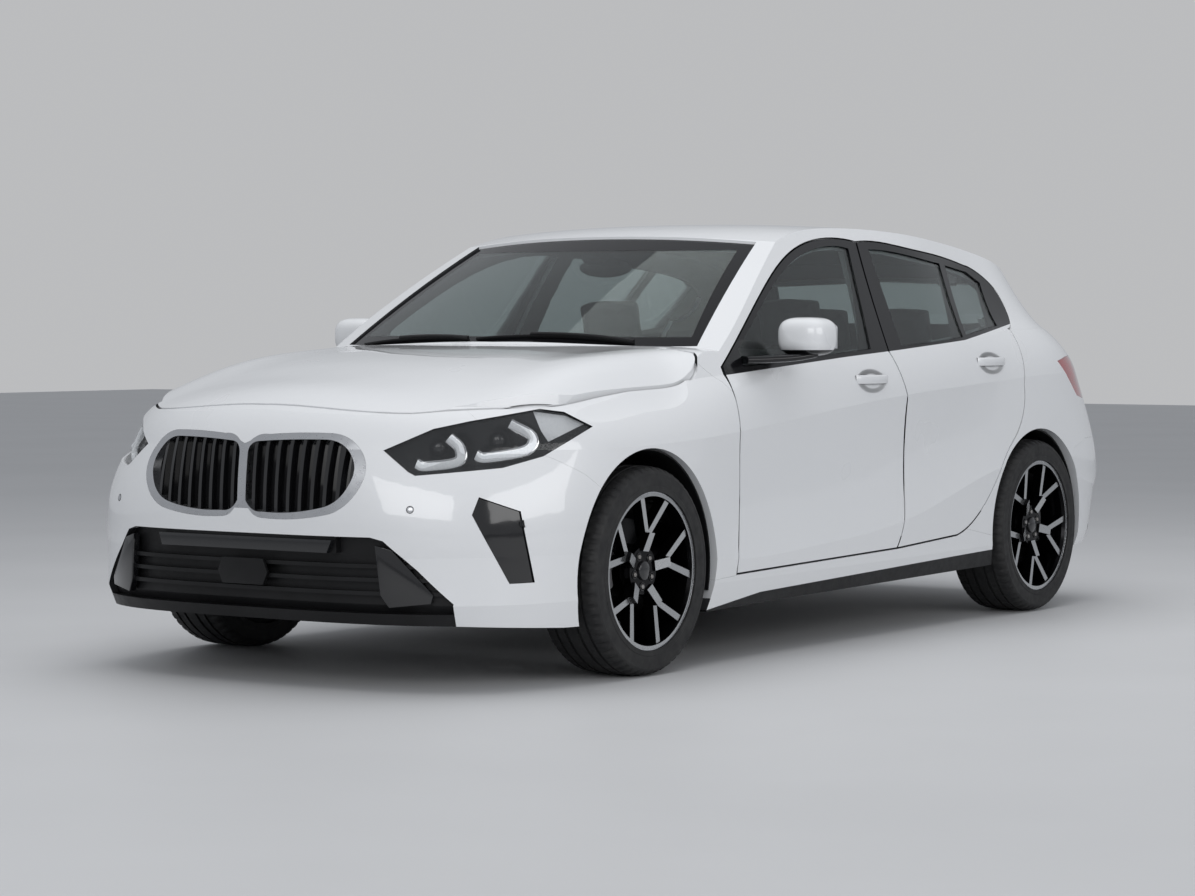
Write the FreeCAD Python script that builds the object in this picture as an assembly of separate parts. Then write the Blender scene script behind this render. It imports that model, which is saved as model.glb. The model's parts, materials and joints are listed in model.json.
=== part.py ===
# Five-door compact hatchback car: hollow body, hung doors, bonnet and tailgate, steered
# front wheels on knuckles, cabin furniture behind real window openings.
# Frame: +X to the car's left, +Y rearwards, +Z up, in millimetres. The origin is on the
# ground below the middle of the car.
import FreeCAD, Part
import math
import os
from FreeCAD import Vector

os.makedirs("parts", exist_ok=True)

# Driving dimensions of the vehicle
LENGTH = 4361.0
FRONT_OVERHANG = 897.0
WHEELBASE = 2670.0
HALF_TRACK = 782.0
TYRE_RADIUS = 326.0
TYRE_WIDTH = 225.0
RIM_RADIUS = 246.0

FRONT_Y = -LENGTH / 2
REAR_Y = LENGTH / 2
AXLE_F = FRONT_Y + FRONT_OVERHANG
AXLE_R = AXLE_F + WHEELBASE
AXLE_Z = TYRE_RADIUS

# Gaps and walls
SHUT_GAP = 6.0
SEAM_GAP = 0.5
DOOR_DEPTH = 90.0
FRAME_DEPTH = 28.0
DOOR_WALL = 124.0
FRAME_WALL = 58.0
FLANGE = 40.0
BONNET_WALL = 26.0
END_WALL = 60.0
ROOF_WALL = 30.0
GLASS = 5.0
GLASS_SET_IN = 6.0
FLOOR_Z = 205.0
FLOOR_PLATE = 25.0
FIREWALL_Y = -835.0
FIREWALL = 30.0

# Wheel arches
ARCH_F = 380.0
ARCH_R = 368.0
LINER = 6.0

# Floor tunnel, which the exhaust pipe runs through
TUNNEL_HALF = 130.0
TUNNEL_Z = FLOOR_Z + 160

# Steering axis of the left front wheel: lower ball joint and upper mount
BALL = Vector(712.0, AXLE_F, 200.0)
MOUNT = Vector(598.0, AXLE_F, 760.0)

MIRROR = (Vector(0, 0, 0), Vector(1, 0, 0))


def spline_value(knots, t):
    """Value at t of the natural cubic through (position, value) knots, held flat outside them."""
    xs = [k[0] for k in knots]
    ys = [k[1] for k in knots]
    n = len(xs)
    if t <= xs[0]:
        return ys[0]
    if t >= xs[-1]:
        return ys[-1]
    second = [0.0] * n
    work = [0.0] * n
    for i in range(1, n - 1):
        ratio = (xs[i] - xs[i - 1]) / (xs[i + 1] - xs[i - 1])
        p = ratio * second[i - 1] + 2
        second[i] = (ratio - 1) / p
        slope = (ys[i + 1] - ys[i]) / (xs[i + 1] - xs[i]) - (ys[i] - ys[i - 1]) / (xs[i] - xs[i - 1])
        work[i] = (6 * slope / (xs[i + 1] - xs[i - 1]) - ratio * work[i - 1]) / p
    for i in range(n - 2, 0, -1):
        second[i] = second[i] * second[i + 1] + work[i]
    k = max(i for i in range(n - 1) if xs[i] <= t)
    h = xs[k + 1] - xs[k]
    a = (xs[k + 1] - t) / h
    b = 1 - a
    bend = ((a**3 - a) * second[k] + (b**3 - b) * second[k + 1]) * h * h / 6
    return a * ys[k] + b * ys[k + 1] + bend


def smooth_step(t, low, high):
    """0 below low, 1 above high, an S between."""
    s = min(1.0, max(0.0, (t - low) / (high - low)))
    return s * s * (3 - 2 * s)


def mirrored(shape):
    return shape.mirror(*MIRROR)


def both(shape):
    """The shape and its mirror image across the car as one compound of separate solids."""
    return Part.makeCompound(shape.Solids + mirrored(shape).Solids)


def joined(shapes):
    return shapes[0].fuse(shapes[1:])


def fuse(shapes):
    """Joined pieces with the seams between their flush faces taken out."""
    return joined(shapes).removeSplitter()


def box(x0, x1, y0, y1, z0, z1):
    return Part.makeBox(x1 - x0, y1 - y0, z1 - z0, Vector(x0, y0, z0))


def tube_x(radius, x0, x1, y, z):
    return Part.makeCylinder(radius, x1 - x0, Vector(x0, y, z), Vector(1, 0, 0))


def side(a, b):
    return Vector(0, a, b)


def plan(a, b):
    return Vector(a, b, 0)


def front(a, b):
    return Vector(a, 0, b)


def lines(points):
    """Closed polygon as straight runs."""
    return [[points[i], points[(i + 1) % len(points)]] for i in range(len(points))]


def run_curve(run, place):
    pts = [place(*p) for p in run]
    if len(pts) == 2:
        return Part.LineSegment(pts[0], pts[1])
    curve = Part.BSplineCurve()
    curve.interpolate(pts)
    return curve


def loop(runs, place):
    """Closed wire of runs of points: two points are a straight edge, more a smooth curve."""
    return Part.Wire([run_curve(run, place).toShape() for run in runs])


def run_tangents(run):
    curve = run_curve(run, plan)
    tangents = []
    for a, b in run:
        t = curve.tangent(curve.parameter(Vector(a, b, 0)))
        t = t[0] if isinstance(t, tuple) else t
        tangents.append((t.x, t.y))
    return tangents


def grow(runs, amount):
    """The same closed outline moved outwards by amount, its corners mitred."""
    area = 0.0
    for run in runs:
        for (a0, b0), (a1, b1) in zip(run, run[1:]):
            area += a0 * b1 - a1 * b0
    turn = amount if area > 0 else -amount
    tangents = [run_tangents(run) for run in runs]
    grown = [[(a + turn * tb, b - turn * ta) for (a, b), (ta, tb) in zip(run, tan)] for run, tan in zip(runs, tangents)]
    for i in range(len(runs)):
        j = (i + 1) % len(runs)
        (px, py), (tx, ty) = grown[i][-1], tangents[i][-1]
        (qx, qy), (ux, uy) = grown[j][0], tangents[j][0]
        cross = tx * uy - ty * ux
        if abs(cross) < 0.05:
            meet = ((px + qx) / 2, (py + qy) / 2)
        else:
            along = ((qx - px) * uy - (qy - py) * ux) / cross
            meet = (px + along * tx, py + along * ty)
        grown[i][-1] = meet
        grown[j][0] = meet
    return grown


def prism(runs, place, start, end, offset=0.0):
    """Solid swept from vector start to vector end, its outline grown by offset."""
    if offset:
        runs = grow(runs, offset)
    face = Part.Face(loop(runs, place))
    face.translate(start)
    return face.extrude(end - start)


# Body hull: waterlines round the car from the under-edge to the roof.
# Each has its nose and tail reach, half widths at front axle, doors and rear axle,
# squareness of nose and tail, and its height at places along the car.
SIDE_STATIONS = (-1000.0, -700.0, -300.0, 100.0, 500.0, 850.0, 1150.0)
NOSE_TURN = (0.0, 12.0, 23.0, 33.0, 42.0, 51.0, 62.0, 75.0, 90.0)


class Waterline:
    def __init__(self, nose, tail, widths, squareness, heights):
        self.nose = nose
        self.tail = tail
        self.width_f, self.width_d, self.width_r = widths
        self.square_f, self.square_r = squareness
        self.heights = heights

    def half_width(self, y):
        """Half width between the axles: the arches stand proud of the doors."""
        ahead = 1 - smooth_step(y, AXLE_F, AXLE_F + 750)
        behind = smooth_step(y, AXLE_R - 650, AXLE_R)
        return self.width_d + (self.width_f - self.width_d) * ahead + (self.width_r - self.width_d) * behind

    def corner(self, turn, width, reach, square, sign, axle, inset, end_inset):
        across = math.sin(math.radians(turn))
        along = max(0.0, math.cos(math.radians(turn)))
        size = (across**square + along**square) ** (-1 / square)
        return (width - inset) * across * size, axle + sign * (reach - end_inset) * along * size

    def points(self, inset, end_inset):
        trace = []
        ahead = AXLE_F - self.nose
        behind = self.tail - AXLE_R
        for turn in NOSE_TURN:
            trace.append(self.corner(turn, self.width_f, ahead, self.square_f, -1, AXLE_F, inset, end_inset))
        for y in SIDE_STATIONS:
            trace.append((self.half_width(y) - inset, y))
        for turn in reversed(NOSE_TURN):
            trace.append(self.corner(turn, self.width_r, behind, self.square_r, 1, AXLE_R, inset, end_inset))
        return [Vector(x, y, spline_value(self.heights, y)) for x, y in trace]

    def halves(self, inset=0.0, end_inset=0.0):
        """Left and right curves, each from the nose to the tail."""
        curves = []
        for sign in (1, -1):
            pts = [Vector(sign * p.x, p.y, p.z) for p in self.points(inset, end_inset)]
            curve = Part.BSplineCurve()
            speed = sum((q - p).Length for p, q in zip(pts, pts[1:]))
            curve.interpolate(Points=pts, Parameters=WATERLINE_PACE, InitialTangent=Vector(sign * speed, 0, 0),
                              FinalTangent=Vector(-sign * speed, 0, 0), Scale=False)
            curves.append(curve)
        return curves


def pace(points):
    """Chord-length parameters, shared by all the curves of one loft so its faces stay light."""
    marks = [0.0]
    for p, q in zip(points, points[1:]):
        marks.append(marks[-1] + (q - p).Length)
    return [m / marks[-1] for m in marks]


def guided(points, marks=None):
    """Curve through the points at the given parameters; two points give a straight one."""
    curve = Part.BSplineCurve()
    curve.interpolate(Points=points, Parameters=marks or pace(points))
    return curve


def skinned(curves, marks):
    """Face through curves of one parametrisation, itself interpolated at the given marks."""
    columns = []
    for i in range(curves[0].NbPoles):
        columns.append(guided([c.getPole(i + 1) for c in curves], marks))
    poles = [[c.getPole(j + 1) for j in range(c.NbPoles)] for c in columns]
    along, across = curves[0], columns[0]
    surface = Part.BSplineSurface()
    surface.buildFromPolesMultsKnots(poles, along.getMultiplicities(), across.getMultiplicities(),
                                     along.getKnots(), across.getKnots(), False, False, along.Degree,
                                     across.Degree)
    return surface.toShape()


def sewn(faces):
    shape = Part.makeCompound(faces)
    shape.sewShape(0.01)
    return Part.Solid(shape.Shells[0])


def lofted(sections, marks):
    """Solid through closed sections, each a list of matching curves; the end ones are flat."""
    faces = [skinned([section[k] for section in sections], marks) for k in range(len(sections[0]))]
    for section in (sections[0], sections[-1]):
        faces.append(Part.Face(Part.Wire([curve.toShape() for curve in section])))
    return sewn(faces)


LOW_Z = 120.0
TOP_Z = 1500.0
WATERLINES = [
    Waterline(-2095, 2080, (862, 850, 850), (3.4, 3.8), [(-3000, LOW_Z), (3000, LOW_Z)]),
    Waterline(-2172, 2150, (888, 876, 886), (3.25, 4.3), [(-2200, 262), (0, 262), (2200, 285)]),
    Waterline(-2176, 2174, (895, 884, 893), (3.15, 4.6),
              [(-2200, 400), (-1284, 380), (-754, 330), (-382, 340), (-47, 357), (341, 399), (677, 465),
               (990, 543), (1386, 560), (1800, 480), (2200, 430)]),
    Waterline(-2180.5, 2180.5, (896, 868, 893), (3.0, 4.6),
              [(-2200, 560), (-900, 560), (0, 600), (900, 690), (1500, 650), (2200, 600)]),
    Waterline(-2166, 2172, (885, 878, 880), (2.4, 3.0),
              [(-2200, 720), (-1284, 715), (-764, 741), (-392, 775), (351, 839), (1057, 878), (1400, 895),
               (2200, 900)]),
    Waterline(-2130, 2150, (850, 866, 852), (2.4, 2.8),
              [(-2200, 800), (-1481, 795), (-1023, 820), (-763, 850), (24, 900), (892, 955), (1500, 990),
               (2200, 965)]),
    Waterline(-2075, 2060, (778, 838, 800), (2.5, 2.6),
              [(-2200, 856), (-1481, 856), (-1273, 882), (-1023, 905), (-763, 926), (-532, 941), (24, 976),
               (392, 997), (892, 1030), (1222, 1060), (1600, 1070), (2200, 1050)]),
    Waterline(-1900, 1960, (700, 735, 690), (2.5, 2.6), [(-3000, 1200), (3000, 1200)]),
    Waterline(-1700, 1780, (545, 585, 545), (2.5, 2.6), [(-3000, TOP_Z), (3000, TOP_Z)]),
]
WATERLINE_PACE = pace(WATERLINES[4].points(0.0, 0.0))
BANDS = ((0, 1), (1, 2), (2, 3, 4), (4, 5, 6), (6, 7, 8))


def hull(insets):
    """Closed solid through the waterlines, each moved in by its own (side, end) inset."""
    curves = [w.halves(*inset) for w, inset in zip(WATERLINES, insets)]
    faces = []
    for band in BANDS:
        marks = [k / (len(band) - 1) for k in range(len(band))]
        for half in (0, 1):
            faces.append(skinned([curves[i][half] for i in band], marks))
    for i in (0, len(curves) - 1):
        faces.append(Part.Face(Part.Wire([curves[i][0].toShape(), curves[i][1].toShape()])))
    return sewn(faces)


# Bonnet surface: heights along the centre line, the shoulder crease and the shut line
BONNET_CREST = [(-2300, 740), (-2180, 788), (-2080, 846), (-1900, 903), (-1600, 960), (-1284, 998),
                (-1000, 1017), (-700, 1034)]
BONNET_SHOULDER = [(-2300, 670), (-2080, 742), (-1985, 786), (-1875, 830), (-1797, 862), (-1639, 912), (-1477, 953),
                   (-1284, 983), (-1000, 1004), (-700, 1022)]
BONNET_EDGE = [(-2300, 640), (-2080, 690), (-1800, 790), (-1600, 830), (-1300, 874), (-1050, 898), (-960, 926),
               (-880, 985), (-800, 1004), (-700, 1008)]
SHOULDER_X = 650.0
BONNET_EDGE_X = 785.0
BONNET_SKIRT = 0.3
BONNET_STATIONS = (-2300, -2150, -2000, -1800, -1600, -1400, -1200, -1050, -950, -870, -790, -700)


def bonnet_height(x, y):
    """Crowned between the shoulders, falling faster from each shoulder to the shut line."""
    crest = spline_value(BONNET_CREST, y)
    shoulder = spline_value(BONNET_SHOULDER, y)
    edge = spline_value(BONNET_EDGE, y)
    slope = 2 * (crest - shoulder) / SHOULDER_X
    across = abs(x)
    if across <= SHOULDER_X:
        return crest - slope * across * across / (2 * SHOULDER_X)
    flank = BONNET_EDGE_X - SHOULDER_X
    if across <= BONNET_EDGE_X:
        share = (across - SHOULDER_X) / flank
        return shoulder - slope * flank * share - (shoulder - edge - slope * flank) * share * share
    return edge - BONNET_SKIRT * (across - BONNET_EDGE_X)


BONNET_XS = (-940, -785, -720, -650, -540, -380, -200, 0, 200, 380, 540, 650, 720, 785, 940)


def spread(values):
    """Parameters from 0 to 1 in proportion to the values."""
    return [(v - values[0]) / (values[-1] - values[0]) for v in values]


def bonnet_solid(drop):
    """Everything under the bonnet surface, lowered by drop."""
    sections = []
    for y in BONNET_STATIONS:
        pts = [Vector(x, y, bonnet_height(x, y) - drop) for x in BONNET_XS]
        low_r = Vector(pts[-1].x, y, LOW_Z - 20)
        low_l = Vector(pts[0].x, y, LOW_Z - 20)
        crown = guided(pts, spread(BONNET_XS))
        sections.append([crown, guided([pts[-1], low_r]), guided([low_r, low_l]), guided([low_l, pts[0]])])
    return lofted(sections, spread(BONNET_STATIONS))


# Cabin top: side profiles from the centre line outwards
SCREEN_BASE = (-1010.0, 960.0)
SCREEN_TOP = (-262.0, 1394.0)
ROOF_LINE = [(-262, 1394), (-120, 1423), (100, 1444), (380, 1452), (700, 1446), (1000, 1426), (1300, 1393),
             (1550, 1353), (1760, 1305)]
TAIL_LINE = [(1745, 1279), (1850, 1200), (1985, 1085), (2060, 1030)]
TAIL_CROWN = (1.0, 0.85, 0.7, 0.6)
CABIN_STATIONS = (-900, -760, -600, -400, -200, 0, 200, 400, 600, 760, 900)


def roof_sweep(x):
    """How far, at x across the car, the screen sits back, the roof lies lower and the tail ends ahead."""
    sweep = (abs(x) / 757.0) ** 2
    return 165 * sweep, 20 * (abs(x) / 600.0) ** 2.2, 80 * sweep


def cabin_profile(x, drop):
    """Screen, roof, spoiler edge and rear window seen from the side, at x across the car."""
    screen_back, roof_drop, tail_ahead = roof_sweep(x)
    base = Vector(x, SCREEN_BASE[0] + screen_back + 2 * drop, SCREEN_BASE[1])
    top = Vector(x, SCREEN_TOP[0] + 0.85 * screen_back + 1.2 * drop, SCREEN_TOP[1] - roof_drop - drop)
    bulge = 14.0
    middle = (base + top) * 0.5 + Vector(0, -bulge * 0.45, bulge)
    screen = guided([base, middle, top], [0.0, 0.5, 1.0])
    roof_pts = [top]
    for y, z in ROOF_LINE[1:]:
        shift = 0.85 * screen_back * (1 - smooth_step(y, -262, 300)) - tail_ahead * smooth_step(y, 1300, 1760)
        roof_pts.append(Vector(x, y + shift + (0 if y < 1700 else -drop), z - roof_drop - drop))
    roof = guided(roof_pts, pace([side(*p) for p in ROOF_LINE]))
    tail_pts = []
    for (y, z), share in zip(TAIL_LINE, TAIL_CROWN):
        tail_pts.append(Vector(x, y - tail_ahead - 0.8 * drop, z - share * roof_drop - drop))
    tail = guided(tail_pts, pace([side(*p) for p in TAIL_LINE]))
    end_top = Vector(x, REAR_Y + 100, tail_pts[-1].z)
    end_low = Vector(x, REAR_Y + 100, LOW_Z - 20)
    base_low = Vector(x, base.y, LOW_Z - 20)
    corners = [(roof_pts[-1], tail_pts[0]), (tail_pts[-1], end_top), (end_top, end_low), (end_low, base_low),
               (base_low, base)]
    return [screen, roof, guided(corners[0]), tail] + [guided(c) for c in corners[1:]]


def cabin_solid(drop):
    return lofted([cabin_profile(x, drop) for x in CABIN_STATIONS], spread(CABIN_STATIONS))


def body_solid(insets, bonnet_drop, cabin_drop):
    whole = hull(insets)
    top = bonnet_solid(bonnet_drop).fuse(cabin_solid(cabin_drop))
    return whole.common(top).Solids[0]


# Body skins: outer face, door inner face, door-opening face, cabin lining and glass faces
def skin(side_low, side_high, end, top):
    insets = [(side_low, end)] * 6 + [(0.5 * (side_low + side_high), end)] + [(side_high, end)] * 2
    return body_solid(insets, top, top)


outer = skin(0.0, 0.0, 0.0, 0.0)
door_back = skin(DOOR_DEPTH, FRAME_DEPTH, END_WALL, FRAME_DEPTH)
opening_face = skin(DOOR_DEPTH + SHUT_GAP, FRAME_DEPTH + SHUT_GAP, END_WALL, FRAME_DEPTH + SHUT_GAP)
lining = skin(DOOR_WALL, FRAME_WALL, END_WALL, ROOF_WALL)
glass_out = skin(GLASS_SET_IN, GLASS_SET_IN, GLASS_SET_IN, GLASS_SET_IN)
glass_in = skin(GLASS_SET_IN + GLASS, GLASS_SET_IN + GLASS, GLASS_SET_IN + GLASS, GLASS_SET_IN + GLASS)

# Under-edge of the body along its length
UNDER_EDGE = [(-2400, 205), (-2000, 200), (-1700, 182), (-941, 172), (1000, 195), (1760, 230), (2100, 245),
              (2400, 250)]
under = lines([(-2400, 0)] + UNDER_EDGE + [(2400, 0)])
below_edge = prism(under, side, Vector(-1000, 0, 0), Vector(1000, 0, 0))
firewall = box(-1000, 1000, FIREWALL_Y, FIREWALL_Y + FIREWALL, 0, 985)
firewall = firewall.cut(box(-TUNNEL_HALF, TUNNEL_HALF, FIREWALL_Y - 1, FIREWALL_Y + FIREWALL + 1, 0, TUNNEL_Z))
cavity = lining.cut(firewall)
wall = outer.cut(cavity).cut(below_edge)

# Wheel arches, open to the outside and inwards past the steered tyre
INNER_F = HALF_TRACK - 330
INNER_R = HALF_TRACK - 150
arch_f = tube_x(ARCH_F, INNER_F, 1000, AXLE_F, AXLE_Z)
arch_r = tube_x(ARCH_R, INNER_R, 1000, AXLE_R, AXLE_Z)
arches = Part.makeCompound([arch_f, mirrored(arch_f), arch_r, mirrored(arch_r)])
wall = wall.cut(arches)

# Outlines of the doors and side windows seen from the side
FRONT_EDGE = [(-765, 950), (-752, 860), (-746, 747), (-743, 520), (-762, 376), (-771, 286)]
PILLAR_GAP = 8.0
DOOR_FOOT_F = [(-771, 286), (302 - PILLAR_GAP, 306)]
PILLAR_LOW = [(302, 306), (345, 400), (358, 527), (370, 690), (377, 829)]
PILLAR_STEP = [(377, 829), (310, 995)]
PILLAR_HIGH = [(310, 995), (361, 1210), (417, 1382)]
HEADER_F = [(417 - PILLAR_GAP, 1382), (265, 1391), (123, 1382), (-5, 1358), (-164, 1305), (-367, 1205), (-620, 1052), (-765, 950)]


def ahead(run):
    """The pillar line moved forwards by its gap: the rear edge of the front door."""
    return [(y - PILLAR_GAP, z) for y, z in run]


FRONT_DOOR = [DOOR_FOOT_F, ahead(PILLAR_LOW), ahead(PILLAR_STEP), ahead(PILLAR_HIGH), HEADER_F, FRONT_EDGE]
REAR_FOOT = [(302, 306), (745, 327)]
REAR_KICK = [(745, 327), (921, 406), (1035, 512), (1088, 575), (1138, 628), (1200, 682), (1250, 750), (1270, 861)]
REAR_RISE = [(1270, 861), (1312, 1074)]
REAR_TIP = [(1312, 1074), (1392, 1100), (1437, 1150), (1442, 1212), (1378, 1274), (1258, 1312)]
HEADER_R = [(1258, 1312), (1048, 1343), (804, 1363), (549, 1385), (417, 1382)]
REAR_DOOR = [REAR_FOOT, REAR_KICK, REAR_RISE, REAR_TIP, HEADER_R, PILLAR_HIGH[::-1], PILLAR_STEP[::-1],
             PILLAR_LOW[::-1]]
GLASS_F = [[(-650, 950), (-544, 955), (11, 991), (189, 1002)], [(189, 1002), (334, 1358)],
           [(334, 1358), (265, 1365), (123, 1356), (-5, 1332), (-164, 1280), (-367, 1182), (-600, 1042), (-650, 1008)],
           [(-650, 1008), (-650, 950)]]
GLASS_R = [[(410, 1012), (640, 1024), (890, 1042)], [(890, 1042), (1014, 1316)],
           [(1014, 1316), (804, 1337), (640, 1353), (479, 1358)], [(479, 1358), (410, 1012)]]
QUARTER = [(924, 1048), (1250, 1084), (1322, 1248), (1240, 1288), (1062, 1310)]
SKIN_X = 880.0
BELT_Z = 900.0
TUMBLEHOME = 0.45
TAPER_Y = 1.7e-4
TAPER_Z = 0.6e-4

# Door hinges: upright axis ahead of the front door, leaning axis in the pillar for the rear one
HINGE_X = 855.0
HINGE_FY = -816.0
HINGE_RY = 279.0
HINGE_RZ = 430.0
HINGE_LEAN = 0.067
HINGES_F = (380.0, 725.0)
HINGES_R = (430.0, 790.0)
PIN = 5.0
EYE = 9.0
PIN_GAP = 0.3
ARM = 10.0
ARM_TALL = 36.0


def door_prism(runs, hinge_y, margin):
    """Outline swept inwards from the skin, narrowing so the door clears its opening as it swings."""
    wires = []
    for x in (980.0, 520.0):
        scaled = []
        for run in runs:
            points = []
            for y, z in run:
                depth = x - SKIN_X
                skin_depth = -TUMBLEHOME * max(0.0, z - BELT_Z)
                ky = (1 + TAPER_Y * depth) / (1 + TAPER_Y * skin_depth)
                kz = (1 + TAPER_Z * depth) / (1 + TAPER_Z * skin_depth)
                points.append((hinge_y + (y - hinge_y) * ky, 300 + (z - 300) * kz))
            scaled.append(points)
        wire = loop(grow(scaled, margin) if margin else scaled, side)
        wire.translate(Vector(x, 0, 0))
        wires.append(wire)
    return Part.makeLoft(wires, True, True)


# Leading edge of each door as height, skin and edge position: its back is bevelled to swing past its neighbour
LEAD_F = ((230, 883, -771), (286, 883, -771), (376, 884, -762), (520, 875, -743), (747, 879, -746), (860, 860, -752),
          (960, 826, -765))
LEAD_R = ((250, 882, 290), (306, 883, 302), (400, 883, 345), (527, 874, 358), (636, 868, 366), (690, 870, 370),
          (829, 877, 377), (995, 831, 310), (1020, 825, 312))
LIP = 2.0
BEVEL_IN = 110.0
BEVEL_BACK = 72.0


def bevel(levels):
    wires = []
    for z, x, y in levels:
        corners = [(x - LIP, y - 8), (x - LIP, y), (x - LIP - BEVEL_IN, y + BEVEL_BACK), (x - LIP - BEVEL_IN, y - 8)]
        wires.append(Part.makePolygon([Vector(a, b, z) for a, b in corners + corners[:1]]))
    return Part.makeLoft(wires, True, True)


prism_df = door_prism(FRONT_DOOR, HINGE_FY, 0)
prism_dr = door_prism(REAR_DOOR, HINGE_RY, 0)
hole_df = door_prism(FRONT_DOOR, HINGE_FY, SHUT_GAP)
hole_dr = door_prism(REAR_DOOR, HINGE_RY, SHUT_GAP)
open_df = door_prism(FRONT_DOOR, HINGE_FY, -FLANGE)
open_dr = door_prism(REAR_DOOR, HINGE_RY, -FLANGE)
window_f = prism(GLASS_F, side, Vector(500, 0, 0), Vector(980, 0, 0))
window_r = prism(GLASS_R, side, Vector(500, 0, 0), Vector(980, 0, 0))
window_q = prism(lines(QUARTER), side, Vector(500, 0, 0), Vector(980, 0, 0))
trim_step = SEAM_GAP
pane_f = prism(GLASS_F, side, Vector(500, 0, 0), Vector(980, 0, 0), -trim_step)
pane_r = prism(GLASS_R, side, Vector(500, 0, 0), Vector(980, 0, 0), -trim_step)
pane_q = prism(lines(QUARTER), side, Vector(500, 0, 0), Vector(980, 0, 0), -trim_step)


def glazing(pane):
    """Glass sheet of the body's own curvature inside a swept outline."""
    return glass_out.common(pane).cut(glass_in)


door_front = outer.common(prism_df).cut(door_back).cut(window_f).cut(bevel(LEAD_F))
arch_clear = tube_x(ARCH_R + SHUT_GAP, INNER_R, 1000, AXLE_R, AXLE_Z)
door_rear = outer.common(prism_dr).cut(door_back).cut(window_r).cut(window_q).cut(arch_clear).cut(bevel(LEAD_R))
glass_front = glazing(pane_f)
glass_rear = glazing(pane_r.fuse(pane_q))
hole_zone_f = outer.common(hole_df).cut(opening_face)
hole_zone_r = outer.common(hole_dr).cut(opening_face)
wall = wall.cut(Part.makeCompound([hole_zone_f, mirrored(hole_zone_f)]))
wall = wall.cut(Part.makeCompound([hole_zone_r, mirrored(hole_zone_r)]))
wall = wall.cut(Part.makeCompound([open_df, mirrored(open_df), open_dr, mirrored(open_dr)]))



def plate(outline, low, high):
    """Flat piece with a plan outline between two heights, about the origin."""
    return prism(lines(outline), plan, Vector(0, 0, low), Vector(0, 0, high))


def rod(radius, low, high):
    return Part.makeCylinder(radius, high - low, Vector(0, 0, low))


def hinge_arm(reach, back):
    """Cranked arm about its own pin axis: inwards from the eye, then rearwards into the door."""
    tall = ARM_TALL / 2
    inward = plate([(0, -ARM / 2), (0, ARM / 2), (-reach, ARM / 2), (-reach, -ARM / 2)], -tall, tall)
    along = plate([(-reach, -ARM / 2), (-reach + ARM, -ARM / 2), (-reach + ARM, back), (-reach, back)], -tall, tall)
    return fuse([inward, along, rod(EYE, -tall, tall)]).cut(rod(PIN + PIN_GAP, -tall - 1, tall + 1))


def placed(shape, z, base_y, lean):
    """The piece moved to its hinge at height z, turned onto the leaning axis."""
    copy = shape.copy()
    turn = FreeCAD.Rotation(Vector(1, 0, 0), -math.degrees(math.atan(lean)))
    copy.Placement = FreeCAD.Placement(Vector(HINGE_X, base_y, z), turn)
    return copy


def hinge_set(shape, heights, y, lean):
    return [placed(shape, z, y + lean * (z - HINGE_RZ), lean) for z in heights]


POCKET = box(-71, 17, -15, 75, -24, 24)
NOTCH = box(-140, 14, -20, 95, -33, 33)
WALL_NOTCH = box(-68, 14, -20, 95, -33, 33)
PLATE = [(9, -9), (9, 9), (-55, 52), (-90, 52), (-90, 20), (-45, -9)]
PLATE_GAP = 0.5
PLATE_THICK = 8.0
plate_low = ARM_TALL / 2 + PLATE_GAP
pillar_bracket = fuse([plate(PLATE, plate_low, plate_low + PLATE_THICK), plate(PLATE, -plate_low - PLATE_THICK, -plate_low),
                       rod(PIN, -plate_low - PLATE_THICK, plate_low + PLATE_THICK)])
arms_front = hinge_set(hinge_arm(65.0, 150.0), HINGES_F, HINGE_FY, 0.0)
pockets_front = hinge_set(POCKET, HINGES_F, HINGE_FY, 0.0)
pins_front = hinge_set(rod(PIN, -30, 30), HINGES_F, HINGE_FY, 0.0)
arms_rear = hinge_set(hinge_arm(64.0, 170.0), HINGES_R, HINGE_RY, HINGE_LEAN)
notches_rear = hinge_set(NOTCH, HINGES_R, HINGE_RY, HINGE_LEAN)
wall_notches = hinge_set(WALL_NOTCH, HINGES_R, HINGE_RY, HINGE_LEAN)
brackets_rear = hinge_set(pillar_bracket, HINGES_R, HINGE_RY, HINGE_LEAN)
door_front = joined([door_front] + arms_front).cut(Part.makeCompound(notches_rear))
hinges_rear = Part.makeCompound(arms_rear).cut(door_rear)
hinges_rear = Part.makeCompound([s for s in hinges_rear.Solids if s.BoundBox.YMin < HINGE_RY + 40])
wall = wall.cut(Part.makeCompound(wall_notches + [mirrored(n) for n in wall_notches]))
wall = joined(wall.Solids + brackets_rear + [mirrored(b) for b in brackets_rear])

# Bonnet outline seen from above, left half then mirrored
BONNET_NOSE = [(0, -2068), (200, -2062), (380, -2035), (500, -1985)]
BONNET_SIDE = [(500, -1985), (600, -1890), (690, -1755), (745, -1620), (764, -1460), (775, -1273), (787, -1023),
               (797, -940)]
BONNET_CORNER = [(797, -940), (790, -885), (768, -868)]
BONNET_REAR = [(768, -868), (600, -892), (300, -925), (0, -938)]
BONNET_GAP = 8.5


def symmetric(runs):
    """Left-hand runs from nose to tail, then their mirror image back to the nose."""
    right = [[(-a, b) for a, b in reversed(run)] for run in reversed(runs)]
    return runs + right


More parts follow.
